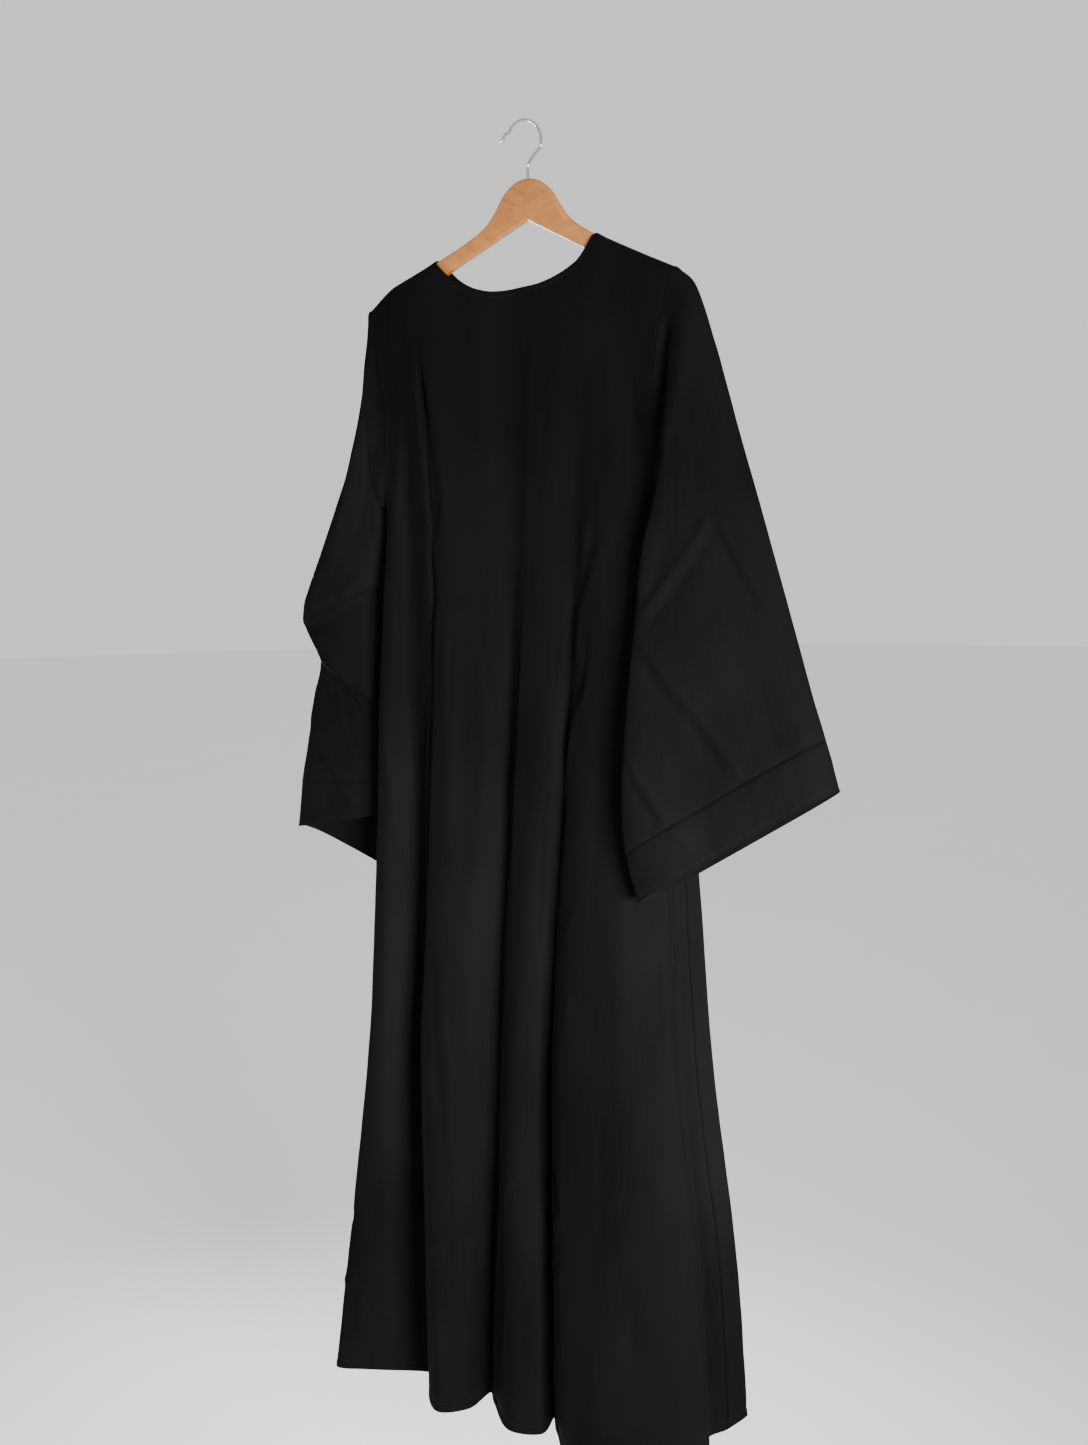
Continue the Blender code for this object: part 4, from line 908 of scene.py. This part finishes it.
def spaced(line, normals, start, step, length):
    """Places along a line at even steps, as (start, end, normal) for stitches of this length."""
    reach = np.concatenate(([0.0], np.cumsum(np.linalg.norm(np.diff(line, axis=0), axis=1))))
    begins = np.arange(start, reach[-1] - length - start, step)

    def at(distances, values):
        return np.stack([np.interp(distances, reach, values[:, k]) for k in range(3)], axis=1)

    return zip(at(begins, line), at(begins + length, line), at(begins + length / 2, normals))


def stitch_row(name, lines, thread, step, length, finish, wall):
    """Straight stitches along lines on the cloth's outer side, all in one piece."""
    shape = bmesh.new()
    for line, normals in lines:
        for start, end, normal in spaced(line, normals, 1.5, step, length):
            heading = Vector(end - start)
            outward = Vector(normal).normalized()
            side = heading.cross(outward).normalized()
            outward = side.cross(heading).normalized()
            centre = Vector((start + end) / 2) * MM + outward * (wall / 2 + thread * 0.12)
            axes = Matrix((heading.normalized(), side, outward)).transposed().to_4x4()
            size = Matrix.Diagonal((length * MM / 2, thread / 2, thread / 2, 1.0))
            place = Matrix.Translation(centre) @ axes @ size
            bmesh.ops.create_icosphere(shape, subdivisions=1, radius=1.0, matrix=place)
    mesh = bpy.data.meshes.new(name)
    shape.to_mesh(mesh)
    shape.free()
    mesh.shade_smooth()
    return add_piece(name, mesh, finish, "cloth")


class Nodes:
    """Short calls for the nodes of one material."""

    def __init__(self, name):
        self.made = bpy.data.materials.new(name)
        self.made.use_nodes = True
        self.tree = self.made.node_tree
        self.shader = self.tree.nodes["Principled BSDF"]
        self.column = 0

    def add(self, kind, **values):
        node = self.tree.nodes.new(kind)
        self.column += 1
        node.location = (-240 * (1 + self.column // 5), -260 * (self.column % 5))
        for key, value in values.items():
            if hasattr(node, key):
                setattr(node, key, value)
            else:
                node.inputs[key.replace("_", " ")].default_value = value
        return node

    def link(self, source, target):
        self.tree.links.new(source, target)
        return target.node

    def scaled(self, source, scale, rotation=(0.0, 0.0, 0.0)):
        node = self.add("ShaderNodeMapping", Scale=scale, Rotation=rotation)
        self.link(source, node.inputs["Vector"])
        return node.outputs["Vector"]

    def clouds(self, source, size, detail=3.0, rough=0.5, twist=0.0):
        node = self.add("ShaderNodeTexNoise", Scale=size, Detail=detail, Roughness=rough, Distortion=twist)
        self.link(source, node.inputs["Vector"])
        return node.outputs["Fac"]

    def ranged(self, source, low, high, bottom, top):
        node = self.add("ShaderNodeMapRange")
        for key, value in zip(("From Min", "From Max", "To Min", "To Max"), (low, high, bottom, top)):
            node.inputs[key].default_value = value
        self.link(source, node.inputs["Value"])
        return node.outputs["Result"]

    def mixed(self, share, first, second, blend="MIX"):
        """Mix of two colours, each a colour or an output of a node."""
        node = self.add("ShaderNodeMix", data_type="RGBA", blend_type=blend)
        for index, value in ((0, share), (6, first), (7, second)):
            if isinstance(value, bpy.types.NodeSocket):
                self.link(value, node.inputs[index])
            elif index:
                node.inputs[index].default_value = (*value[:3], 1.0)
            else:
                node.inputs[index].default_value = value
        return node.outputs[2]

    def worked(self, operation, first, second):
        node = self.add("ShaderNodeMath", operation=operation)
        for index, value in enumerate((first, second)):
            if isinstance(value, bpy.types.NodeSocket):
                self.link(value, node.inputs[index])
            else:
                node.inputs[index].default_value = value
        return node.outputs["Value"]

    def bumped(self, height, strength, distance, below=None):
        node = self.add("ShaderNodeBump", Strength=strength, Distance=distance)
        self.link(height, node.inputs["Height"])
        if below is not None:
            self.link(below, node.inputs["Normal"])
        return node.outputs["Normal"]


def cloth_finish(settings):
    """Black cloth with a soft satin sheen: fine crepe grain, upright slubs and cloudy patches."""
    nodes = Nodes("Black satin-back cloth")
    shader = nodes.shader
    uv = nodes.add("ShaderNodeUVMap", uv_map="Cloth").outputs["UV"]
    place = nodes.add("ShaderNodeTexCoord").outputs["Object"]
    patches = nodes.clouds(nodes.scaled(place, (1.0, 1.0, 0.45)), 7.0, 3.0, 0.55)
    slubs = nodes.clouds(nodes.scaled(uv, (520.0, 9.0, 1.0)), 1.0, 3.0, 0.6)
    grain = nodes.clouds(nodes.scaled(uv, (900.0, 520.0, 1.0)), 1.0, 2.0, 0.6)
    crumple = nodes.clouds(nodes.scaled(uv, (34.0, 15.0, 1.0)), 1.0, 4.0, 0.55, 0.4)
    warp = nodes.add("ShaderNodeTexWave", wave_type="BANDS", bands_direction="X", Scale=1.0, Distortion=0.6)
    nodes.link(nodes.scaled(uv, (260.0, 260.0, 1.0), (0.0, 0.0, math.radians(38.0))), warp.inputs["Vector"])
    dark = tuple(channel * 0.62 for channel in settings.colour)
    light = tuple(channel * 1.35 for channel in settings.colour)
    toned = nodes.mixed(nodes.ranged(patches, 0.3, 0.7, 0.0, 1.0), dark, light)
    streaked = nodes.mixed(nodes.ranged(slubs, 0.35, 0.75, 0.0, 0.35), toned, light)
    speckled = nodes.mixed(nodes.ranged(grain, 0.35, 0.8, 0.0, 0.4), streaked, dark)
    nodes.link(speckled, shader.inputs["Base Color"])
    wear = nodes.worked(
        "ADD", nodes.ranged(patches, 0.3, 0.7, -0.05, 0.05), nodes.ranged(slubs, 0.3, 0.7, -0.05, 0.05)
    )
    nodes.link(nodes.worked("ADD", wear, settings.roughness), shader.inputs["Roughness"])
    shader.inputs["Specular IOR Level"].default_value = 0.005
    shader.inputs["Sheen Weight"].default_value = settings.sheen
    shader.inputs["Sheen Roughness"].default_value = 0.38
    shader.inputs["Sheen Tint"].default_value = (0.86, 0.87, 0.9, 1.0)
    soft = nodes.bumped(crumple, 0.35, 0.0022)
    lined = nodes.bumped(slubs, 0.25, 0.0005, soft)
    grained = nodes.bumped(grain, 0.3, 0.0003, lined)
    woven = nodes.bumped(warp.outputs["Fac"], 0.12, 0.0002, grained)
    nodes.link(woven, shader.inputs["Normal"])
    return nodes.made


def thread_finish(settings):
    """Black sewing thread, a little glossier than the cloth, with its twist."""
    nodes = Nodes("Black sewing thread")
    place = nodes.add("ShaderNodeTexCoord").outputs["Object"]
    twist = nodes.clouds(nodes.scaled(place, (1.0, 1.0, 1.0)), 1600.0, 2.0)
    light = tuple(channel * 1.6 for channel in settings.colour)
    nodes.link(nodes.mixed(twist, settings.colour, light), nodes.shader.inputs["Base Color"])
    nodes.link(nodes.ranged(twist, 0.3, 0.7, 0.4, 0.55), nodes.shader.inputs["Roughness"])
    nodes.shader.inputs["Sheen Weight"].default_value = 0.05
    nodes.shader.inputs["Specular IOR Level"].default_value = 0.1
    nodes.link(nodes.bumped(twist, 0.4, 0.0002), nodes.shader.inputs["Normal"])
    return nodes.made


def wood_finish(name, colour, lean, flame, settings):
    """Lacquered light wood, its grain along the arm of the hanger."""
    nodes = Nodes(name)
    shader = nodes.shader
    place = nodes.add("ShaderNodeTexCoord").outputs["Object"]
    turned = nodes.scaled(place, (1.0, 1.0, 1.0), (0.0, lean, 0.0))
    bent = nodes.clouds(nodes.scaled(turned, (9.0, 30.0, 30.0)), 1.0, 3.0, 0.5, 0.8)
    rings = nodes.clouds(nodes.scaled(turned, (7.0, 60.0, 120.0)), 1.0, 4.0, 0.6, 1.6)
    fibres = nodes.clouds(nodes.scaled(turned, (60.0, 700.0, 1500.0)), 1.0, 3.0, 0.65)
    pores = nodes.clouds(nodes.scaled(turned, (160.0, 1500.0, 1500.0)), 1.0, 2.0, 0.6)
    figure = nodes.clouds(nodes.scaled(turned, (70.0, 20.0, 24.0), (0.0, flame, 0.0)), 1.0, 3.0, 0.55, 0.6)
    deep = (colour[0] * 0.72, colour[1] * 0.56, colour[2] * 0.42)
    pale = (min(1.0, colour[0] * 1.22), min(1.0, colour[1] * 1.3), min(1.0, colour[2] * 1.45))
    ringed = nodes.mixed(nodes.ranged(rings, 0.36, 0.66, 0.0, 0.75), colour, deep)
    clouded = nodes.mixed(nodes.ranged(bent, 0.35, 0.7, 0.0, 0.6), ringed, pale)
    figured = nodes.mixed(nodes.ranged(figure, 0.5, 0.72, 0.0, 0.55), clouded, pale)
    lined = nodes.mixed(nodes.ranged(fibres, 0.5, 0.78, 0.0, 0.5), figured, deep)
    dotted = nodes.mixed(nodes.ranged(pores, 0.64, 0.72, 0.0, 0.55), lined, tuple(c * 0.5 for c in deep))
    nodes.link(dotted, shader.inputs["Base Color"])
    nodes.link(nodes.ranged(fibres, 0.3, 0.7, 0.32, 0.46), shader.inputs["Roughness"])
    shader.inputs["Coat Weight"].default_value = settings.lacquer
    shader.inputs["Coat Roughness"].default_value = 0.16
    nodes.link(nodes.bumped(fibres, 0.25, 0.0002), shader.inputs["Normal"])
    return nodes.made


def chrome_finish(settings):
    """Chrome plating with fine rub marks."""
    nodes = Nodes("Chrome wire")
    place = nodes.add("ShaderNodeTexCoord").outputs["Object"]
    rubs = nodes.clouds(nodes.scaled(place, (900.0, 900.0, 260.0)), 1.0, 3.0)
    haze = nodes.clouds(place, 60.0, 2.0)
    shader = nodes.shader
    shader.inputs["Metallic"].default_value = 1.0
    tarnish = tuple(channel * 0.86 for channel in settings.colour)
    dulled = nodes.mixed(nodes.ranged(haze, 0.4, 0.7, 0.0, 1.0), settings.colour, tarnish)
    nodes.link(dulled, shader.inputs["Base Color"])
    worn = nodes.worked("ADD", nodes.ranged(rubs, 0.35, 0.75, -0.02, 0.05), settings.roughness)
    nodes.link(worn, shader.inputs["Roughness"])
    nodes.link(nodes.bumped(rubs, 0.04, 0.0001), shader.inputs["Normal"])
    return nodes.made


def finish_once(name, make, *values):
    """The material of this name, made on its first use."""
    return bpy.data.materials.get(name) or make(*values)


def cloth_material(scene):
    return finish_once("Black satin-back cloth", cloth_finish, scene.abaya_cloth)


def thread_material(scene):
    return finish_once("Black sewing thread", thread_finish, scene.abaya_cloth)


def wood_ring(offset, side):
    """Section of a hanger half at this distance from its middle, as points in millimetres."""
    crest = smooth(CREST_AT, CREST_Z, offset)
    low = LOWER_EDGE_Z - LOWER_EDGE_SLOPE * offset
    to_tip = HANGER_LENGTH - offset
    shrink = float(dome(to_tip / HANGER_TIP_ROUND))
    middle = (crest + low) / 2
    half = (crest - low) / 2 * (0.35 + 0.65 * shrink)
    thick = HANGER_THICK / 2 * (0.35 + 0.65 * shrink)
    loop = []
    for corner_y, corner_z, radius, start in (
        (-1, 1, HANGER_TOP_ROUND, 180.0),
        (1, 1, HANGER_TOP_ROUND, 90.0),
        (1, -1, HANGER_LOW_ROUND, 0.0),
        (-1, -1, HANGER_LOW_ROUND, -90.0),
    ):
        radius *= thick / (HANGER_THICK / 2)
        for k in range(9):
            angle = math.radians(start - 90.0 * k / 8)
            y = corner_y * (thick - radius) + radius * math.cos(angle)
            z = middle + corner_z * (half - radius) + radius * math.sin(angle)
            loop.append((HANGER_CENTRE + side * offset, y, z))
    return loop


def hanger_half_mesh(name, side):
    """A loft through the sections of one half, closed at both ends. The hook's bore is cut into it
    afterwards, by bored.
    """
    straight = HANGER_LENGTH - HANGER_TIP_ROUND
    offsets = [SEAM_GAP / 2, *np.arange(3.0, straight, 3.0), straight]
    offsets += [straight + HANGER_TIP_ROUND * math.sin(math.radians(a)) for a in range(10, 91, 10)]
    rows = np.array([wood_ring(offset, side) for offset in offsets])
    mesh = finished_mesh(name, rows, closed=True)
    shape = bmesh.new()
    shape.from_mesh(mesh)
    bmesh.ops.holes_fill(shape, edges=shape.edges, sides=0)
    bmesh.ops.recalc_face_normals(shape, faces=shape.faces)
    shape.to_mesh(mesh)
    shape.free()
    return mesh


def bored(half, name):
    """The half's mesh with the hook's hole cut out of it."""
    top, low = -60.0, CREST_Z[0] - HOOK_SINK - BORE_CLEARANCE
    radius = (WIRE / 2 + BORE_CLEARANCE) * MM
    shape = bmesh.new()
    place = Matrix.Translation((HANGER_CENTRE * MM, 0.0, (top + low) / 2 * MM))
    bmesh.ops.create_cone(
        shape, cap_ends=True, segments=40, radius1=radius, radius2=radius,
        depth=(top - low) * MM, matrix=place
    )
    cutter_mesh = bpy.data.meshes.new("bore")
    shape.to_mesh(cutter_mesh)
    shape.free()
    cutter = bpy.data.objects.new("bore", cutter_mesh)
    body = bpy.data.objects.new("uncut", half)
    for made in (cutter, body):
        bpy.context.scene.collection.objects.link(made)
    cut = body.modifiers.new("Bore", "BOOLEAN")
    cut.operation = "DIFFERENCE"
    cut.object = cutter
    bpy.context.view_layer.update()
    finished = bpy.data.meshes.new_from_object(body.evaluated_get(bpy.context.evaluated_depsgraph_get()))
    finished.name = name
    for made in (body, cutter):
        bpy.data.objects.remove(made)
    finished.materials.clear()
    finished.shade_smooth()
    finished.set_sharp_from_angle(angle=math.radians(40.0))
    return finished


def hook_line():
    """The hook wire's centre line, from inside the wood to its end ball, and its thickness there."""
    centre_x, centre_z = 2.5, WIRE / 2 - HOOK_RADIUS
    path = [(HANGER_CENTRE, CREST_Z[0] - HOOK_SINK), *HOOK_STEM]
    for angle in np.radians(np.linspace(HOOK_ROUND_FROM, HOOK_ROUND_TO, 13)):
        path.append((centre_x + HOOK_RADIUS * math.cos(angle), centre_z + HOOK_RADIUS * math.sin(angle)))
    path = np.array([*path, *HOOK_FLARE])
    closed = np.array([2 * path[0] - path[1], *path, 2 * path[-1] - path[-2]])
    points = list(through(closed, np.linspace(0.0, len(path) - 1.0, 6 * len(path))))
    sizes = [1.0] * len(points)
    heading = (path[-1] - path[-2]) / np.linalg.norm(path[-1] - path[-2])
    for angle in np.radians(np.linspace(-46.0, 90.0, 12)):
        ball = HOOK_BALL * math.cos(angle)
        points.append(path[-1] + heading * (1.9 + WIRE / 2 * HOOK_BALL * 0.8 * math.sin(angle)))
        sizes.append(max(ball, 0.02))
    return points, sizes


class ClothSettings(bpy.types.PropertyGroup):
    wall: FloatProperty(
        name="Cloth thickness", description="Thickness of the cloth",
        default=0.0012, min=0.0004, max=0.003,
        unit="LENGTH",
    )
    creasing: FloatProperty(
        name="Creasing", description="Depth of the creases, as a factor",
        default=1.0, min=0.0, max=2.0,
        subtype="FACTOR",
    )
    colour: FloatVectorProperty(
        name="Cloth colour", description="Colour of the cloth",
        default=(0.0034, 0.0034, 0.0036), min=0.0, max=1.0,
        size=3, subtype="COLOR",
    )
    roughness: FloatProperty(
        name="Roughness", description="How matt the cloth is",
        default=0.66, min=0.2, max=1.0, subtype="FACTOR",
    )
    sheen: FloatProperty(
        name="Sheen", description="Soft light on the cloth at low angles",
        default=0.012, min=0.0, max=1.0,
        subtype="FACTOR",
    )
    stitch: FloatProperty(
        name="Stitch length", description="Length of one stitch of the hems",
        default=0.0026, min=0.0015,
        max=0.006, unit="LENGTH",
    )


class HangerSettings(bpy.types.PropertyGroup):
    left: FloatVectorProperty(
        name="Left half", description="Colour of the left half's wood",
        default=(0.33, 0.12, 0.022), min=0.0,
        max=1.0, size=3, subtype="COLOR",
    )
    right: FloatVectorProperty(
        name="Right half", description="Colour of the right half's wood",
        default=(0.33, 0.125, 0.024), min=0.0,
        max=1.0, size=3, subtype="COLOR",
    )
    lacquer: FloatProperty(
        name="Lacquer", description="How much clear lacquer lies on the wood",
        default=0.25, min=0.0, max=1.0,
        subtype="FACTOR",
    )


class HookSettings(bpy.types.PropertyGroup):
    colour: FloatVectorProperty(
        name="Metal colour", description="Colour of the plating",
        default=(0.5, 0.5, 0.51), min=0.0, max=1.0,
        size=3, subtype="COLOR",
    )
    roughness: FloatProperty(
        name="Roughness", description="How dull the plating is",
        default=0.13, min=0.02, max=0.8, subtype="FACTOR",
    )


class StageSettings(bpy.types.PropertyGroup):
    floor: FloatProperty(
        name="Floor height", description="Height of the floor below the hook",
        default=-2.0, unit="LENGTH",
    )
    tone: FloatVectorProperty(
        name="Backdrop colour", description="Colour of the floor and of the light all round",
        default=(0.92, 0.915, 0.9), min=0.0, max=1.0, size=3, subtype="COLOR",
    )
    power: FloatProperty(
        name="Main light", description="Power of the soft side light",
        default=50.0, min=0.0, unit="POWER",
    )


class ABAYA_OT_front(bpy.types.Operator):
    """Build the front with its turned hem"""

    bl_idname = "abaya.front"
    bl_label = "Front"

    def execute(self, context):
        build_panel(context.scene, "front_panel", FRONT_FOLDS, -1, FRONT_COLUMN, 0.0, FRONT_CREASES, 1.7)
        return {"FINISHED"}


class ABAYA_OT_back(bpy.types.Operator):
    """Build the back with its turned hem"""

    bl_idname = "abaya.back"
    bl_label = "Back"

    def execute(self, context):
        build_panel(
            context.scene, "back_panel", BACK_FOLDS, 1, BACK_COLUMN, BACK_NECK_LOWER, BACK_CREASES, 4.1
        )
        return {"FINISHED"}


class ABAYA_OT_sleeves(bpy.types.Operator):
    """Build both sleeves with their cuff bands"""

    bl_idname = "abaya.sleeves"
    bl_label = "Sleeves and cuffs"

    def execute(self, context):
        build_sleeve(context.scene, -1, "left", LEFT_SLEEVE, LEFT_SLEEVE_FRONT, LEFT_SLEEVE_BACK, 6.2)
        build_sleeve(context.scene, 1, "right", RIGHT_SLEEVE, RIGHT_SLEEVE_FRONT, RIGHT_SLEEVE_BACK, 8.8)
        return {"FINISHED"}


class ABAYA_OT_hanger(bpy.types.Operator):
    """Build the two wooden halves of the hanger"""

    bl_idname = "abaya.hanger"
    bl_label = "Hanger"

    def execute(self, context):
        settings = context.scene.abaya_hanger
        slope = math.atan(LOWER_EDGE_SLOPE)
        halves = ((-1, "left", settings.left, 0.3), (1, "right", settings.right, -0.9))
        for side, word, colour, flame in halves:
            name = "hanger_" + word
            label = "Lacquered wood, " + word + " half"
            finish = wood_finish(label, tuple(colour), side * slope, flame, settings)
            mesh = bored(hanger_half_mesh(name + "_uncut", side), name + "_wood")
            add_piece(name + "_wood", mesh, finish, "wood", name)
        return {"FINISHED"}


class ABAYA_OT_hook(bpy.types.Operator):
    """Build the wire hook"""

    bl_idname = "abaya.hook"
    bl_label = "Hook"

    def execute(self, context):
        points, sizes = hook_line()
        wire = bpy.data.curves.new("hook_wire", "CURVE")
        wire.dimensions = "3D"
        wire.bevel_depth = WIRE / 2 * MM
        wire.bevel_resolution = 8
        wire.use_fill_caps = True
        line = wire.splines.new("POLY")
        line.points.add(len(points) - 1)
        for place, (x, z), size in zip(line.points, points, sizes):
            place.co = (x * MM, 0.0, z * MM, 1.0)
            place.radius = size
        line.use_smooth = True
        add_piece("hook_wire", wire, chrome_finish(context.scene.abaya_hook), "wire", "hook")
        return {"FINISHED"}


class ABAYA_OT_stage(bpy.types.Operator):
    """Set the floor, the lights and the camera"""

    bl_idname = "abaya.stage"
    bl_label = "Stage"

    def execute(self, context):
        set_stage(context.scene)
        return {"FINISHED"}


class ABAYA_PT_pieces(bpy.types.Panel):
    """Pieces of the abaya and their settings"""

    bl_idname = "ABAYA_PT_pieces"
    bl_label = "Abaya"
    bl_space_type = "VIEW_3D"
    bl_region_type = "UI"
    bl_category = "Abaya"

    def draw(self, context):
        layout, scene = self.layout, context.scene
        layout.label(text=RECORD_NAME)
        for group, names in (
            (scene.abaya_cloth, ("wall", "creasing", "colour", "roughness", "sheen", "stitch")),
            (scene.abaya_hanger, ("left", "right", "lacquer")),
            (scene.abaya_hook, ("colour", "roughness")),
            (scene.abaya_stage, ("floor", "tone", "power")),
        ):
            box = layout.box()
            for name in names:
                box.prop(group, name)
        for operator in OPERATORS:
            layout.operator(operator.bl_idname)


def build_panel(scene, node, folds, facing, column, lower, creases, seed):
    """One body panel with the stitches of its hem and neckline."""
    settings = scene.abaya_cloth
    grid = panel_grid(folds, facing, column, lower)
    normals = outward_normals(grid, closed=False)
    if (normals[len(grid) // 2, :, 1].mean() > 0) != (facing > 0):
        normals = -normals
    relief = panel_relief(grid, creases, settings.creasing, seed)
    grid = grid + normals * relief[:, :, None]
    cloth = cloth_piece(node, grid, settings.wall, cloth_material(scene))
    hem_row = len(grid) - len(HEM_ROWS) + 2
    inside = (grid[0, :, 0] > NECK_LEFT + 4.0) & (grid[0, :, 0] < NECK_RIGHT - 4.0)
    neck_line = stitch_height(grid, 6.5)[inside]
    lines = [(grid[hem_row], normals[hem_row]), (neck_line, normals[len(CREST_ANGLES) - 1][inside])]
    length = settings.stitch / MM
    stitches = stitch_row(
        node + "_stitches", lines, THREAD_RADIUS, length * STITCH_SPACING, length,
        thread_material(scene), settings.wall,
    )


def stitch_height(grid, below):
    """Points of a panel this far below its top edge."""
    depths = grid[:1, :, 2] - grid[:, :, 2]
    line = []
    for column in range(grid.shape[1]):
        line.append([np.interp(below, depths[:, column], grid[:, column, k]) for k in range(3)])
    return np.array(line)


def build_sleeve(scene, side, word, table, front, back, seed):
    """One sleeve and its cuff band, with the stitches of the band."""
    settings = scene.abaya_cloth
    upper, band, columns = sleeve_grids(side, table)
    strength = settings.creasing
    seams = {"upper": (True, True), "band": (True, False)}
    finish = cloth_material(scene)
    for part, grid, node in (("upper", upper, "sleeve_" + word), ("band", band, "cuff_band_" + word)):
        normals = outward_normals(grid, closed=True) * side
        relief = sleeve_relief(grid, columns, front, back, strength, seed, seams[part])
        if part == "band":
            relief = relief + cuff_relief(grid, seed)
        shaped = grid + normals * relief[:, :, None]
        cloth = cloth_piece(node, shaped, settings.wall, finish, closed=True)
        if part == "band":
            above = len(shaped) - 1 - len(CUFF_ROWS)
            rounds = [(closed_line(shaped[above]), closed_line(normals[above]))]
            length = settings.stitch / MM
            stitch_row(
                node + "_stitches", rounds, THREAD_RADIUS, length * STITCH_SPACING, length,
                thread_material(scene), settings.wall,
            )


def closed_line(row):
    return np.concatenate((row, row[:1]))


# The cut of each piece: its width and length, and its area in square metres
Cut = namedtuple("Cut", "flat area")

# Camera, turned and placed as the garment is seen, and the size of its view
CAMERA_PLACE = (1.670, -2.100, -0.384)
CAMERA_RIGHT = (0.78786, 0.61574, -0.01177)
CAMERA_UP = (-0.0725, 0.11171, 0.99109)
CAMERA_FORWARD = (-0.61157, 0.77999, -0.13265)
CAMERA_LENS = 53.07


def area_light(name, place, target, size, power, colour, spread=180.0):
    light = bpy.data.lights.new(name, "AREA")
    light.spread = math.radians(spread)
    light.shape = "RECTANGLE"
    light.size, light.size_y = size
    light.energy = power
    light.color = colour
    lamp = bpy.data.objects.new(name, light)
    bpy.context.scene.collection.objects.link(lamp)
    lamp.location = place
    lamp.rotation_euler = (Vector(target) - Vector(place)).to_track_quat("-Z", "Y").to_euler()


def set_stage(scene):
    settings = scene.abaya_stage
    shape = bmesh.new()
    bmesh.ops.create_circle(shape, cap_ends=True, segments=96, radius=14.0)
    bmesh.ops.translate(shape, verts=shape.verts, vec=(0.0, 0.0, settings.floor))
    mesh = bpy.data.meshes.new("floor")
    shape.to_mesh(mesh)
    shape.free()
    floor = bpy.data.objects.new("floor", mesh)
    scene.collection.objects.link(floor)
    nodes = Nodes("Pale floor")
    place = nodes.add("ShaderNodeTexCoord").outputs["Object"]
    tone = tuple(settings.tone)
    mottled = nodes.mixed(nodes.clouds(place, 3.0), tone, tuple(channel * 0.97 for channel in tone))
    nodes.link(mottled, nodes.shader.inputs["Base Color"])
    nodes.shader.inputs["Roughness"].default_value = 0.9
    mesh.materials.append(nodes.made)
    world = bpy.data.worlds.new("Pale room")
    world.use_nodes = True
    sky = world.node_tree.nodes["Background"]
    sky.inputs["Color"].default_value = (*tone, 1.0)
    sky.inputs["Strength"].default_value = 1.0
    scene.world = world
    power = settings.power
    warm, cool, plain = (1.0, 0.99, 0.97), (0.97, 0.98, 1.0), (1.0, 1.0, 1.0)
    area_light("Side light", (2.3, -1.5, -0.9), (0.0, -0.03, -0.98), (0.9, 0.7), power, warm, 62.0)
    area_light("Top light", (-0.6, -1.8, 2.2), (0.0, 0.0, -0.6), (2.4, 1.8), power * 0.16, cool)
    area_light("Back light", (-2.3, 1.6, -0.7), (0.0, 0.02, -0.95), (0.9, 0.9), power * 0.9, plain, 70.0)
    lens = bpy.data.cameras.new("camera")
    lens.lens = CAMERA_LENS
    lens.sensor_width = 36.0
    lens.sensor_fit = "AUTO"
    camera = bpy.data.objects.new("camera", lens)
    scene.collection.objects.link(camera)
    back = tuple(-value for value in CAMERA_FORWARD)
    turned = Matrix((CAMERA_RIGHT, CAMERA_UP, back)).transposed().to_4x4()
    camera.matrix_world = Matrix.Translation(CAMERA_PLACE) @ turned
    scene.camera = camera


SETTINGS = (ClothSettings, HangerSettings, HookSettings, StageSettings)
OPERATORS = (
    ABAYA_OT_front, ABAYA_OT_back, ABAYA_OT_sleeves, ABAYA_OT_hanger, ABAYA_OT_hook, ABAYA_OT_stage,
)


def register():
    for made in (*SETTINGS, *OPERATORS, ABAYA_PT_pieces):
        bpy.utils.register_class(made)
    bpy.types.Scene.abaya_cloth = PointerProperty(type=ClothSettings)
    bpy.types.Scene.abaya_hanger = PointerProperty(type=HangerSettings)
    bpy.types.Scene.abaya_hook = PointerProperty(type=HookSettings)
    bpy.types.Scene.abaya_stage = PointerProperty(type=StageSettings)


def unregister():
    del bpy.types.Scene.abaya_stage
    del bpy.types.Scene.abaya_hook
    del bpy.types.Scene.abaya_hanger
    del bpy.types.Scene.abaya_cloth
    for made in reversed((*SETTINGS, *OPERATORS, ABAYA_PT_pieces)):
        bpy.utils.unregister_class(made)


def main():
    register()
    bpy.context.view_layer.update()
    bpy.ops.abaya.front()
    bpy.ops.abaya.back()
    bpy.ops.abaya.sleeves()
    bpy.ops.abaya.hanger()
    bpy.ops.abaya.hook()
    bpy.ops.abaya.stage()


if __name__ == "__main__":
    main()
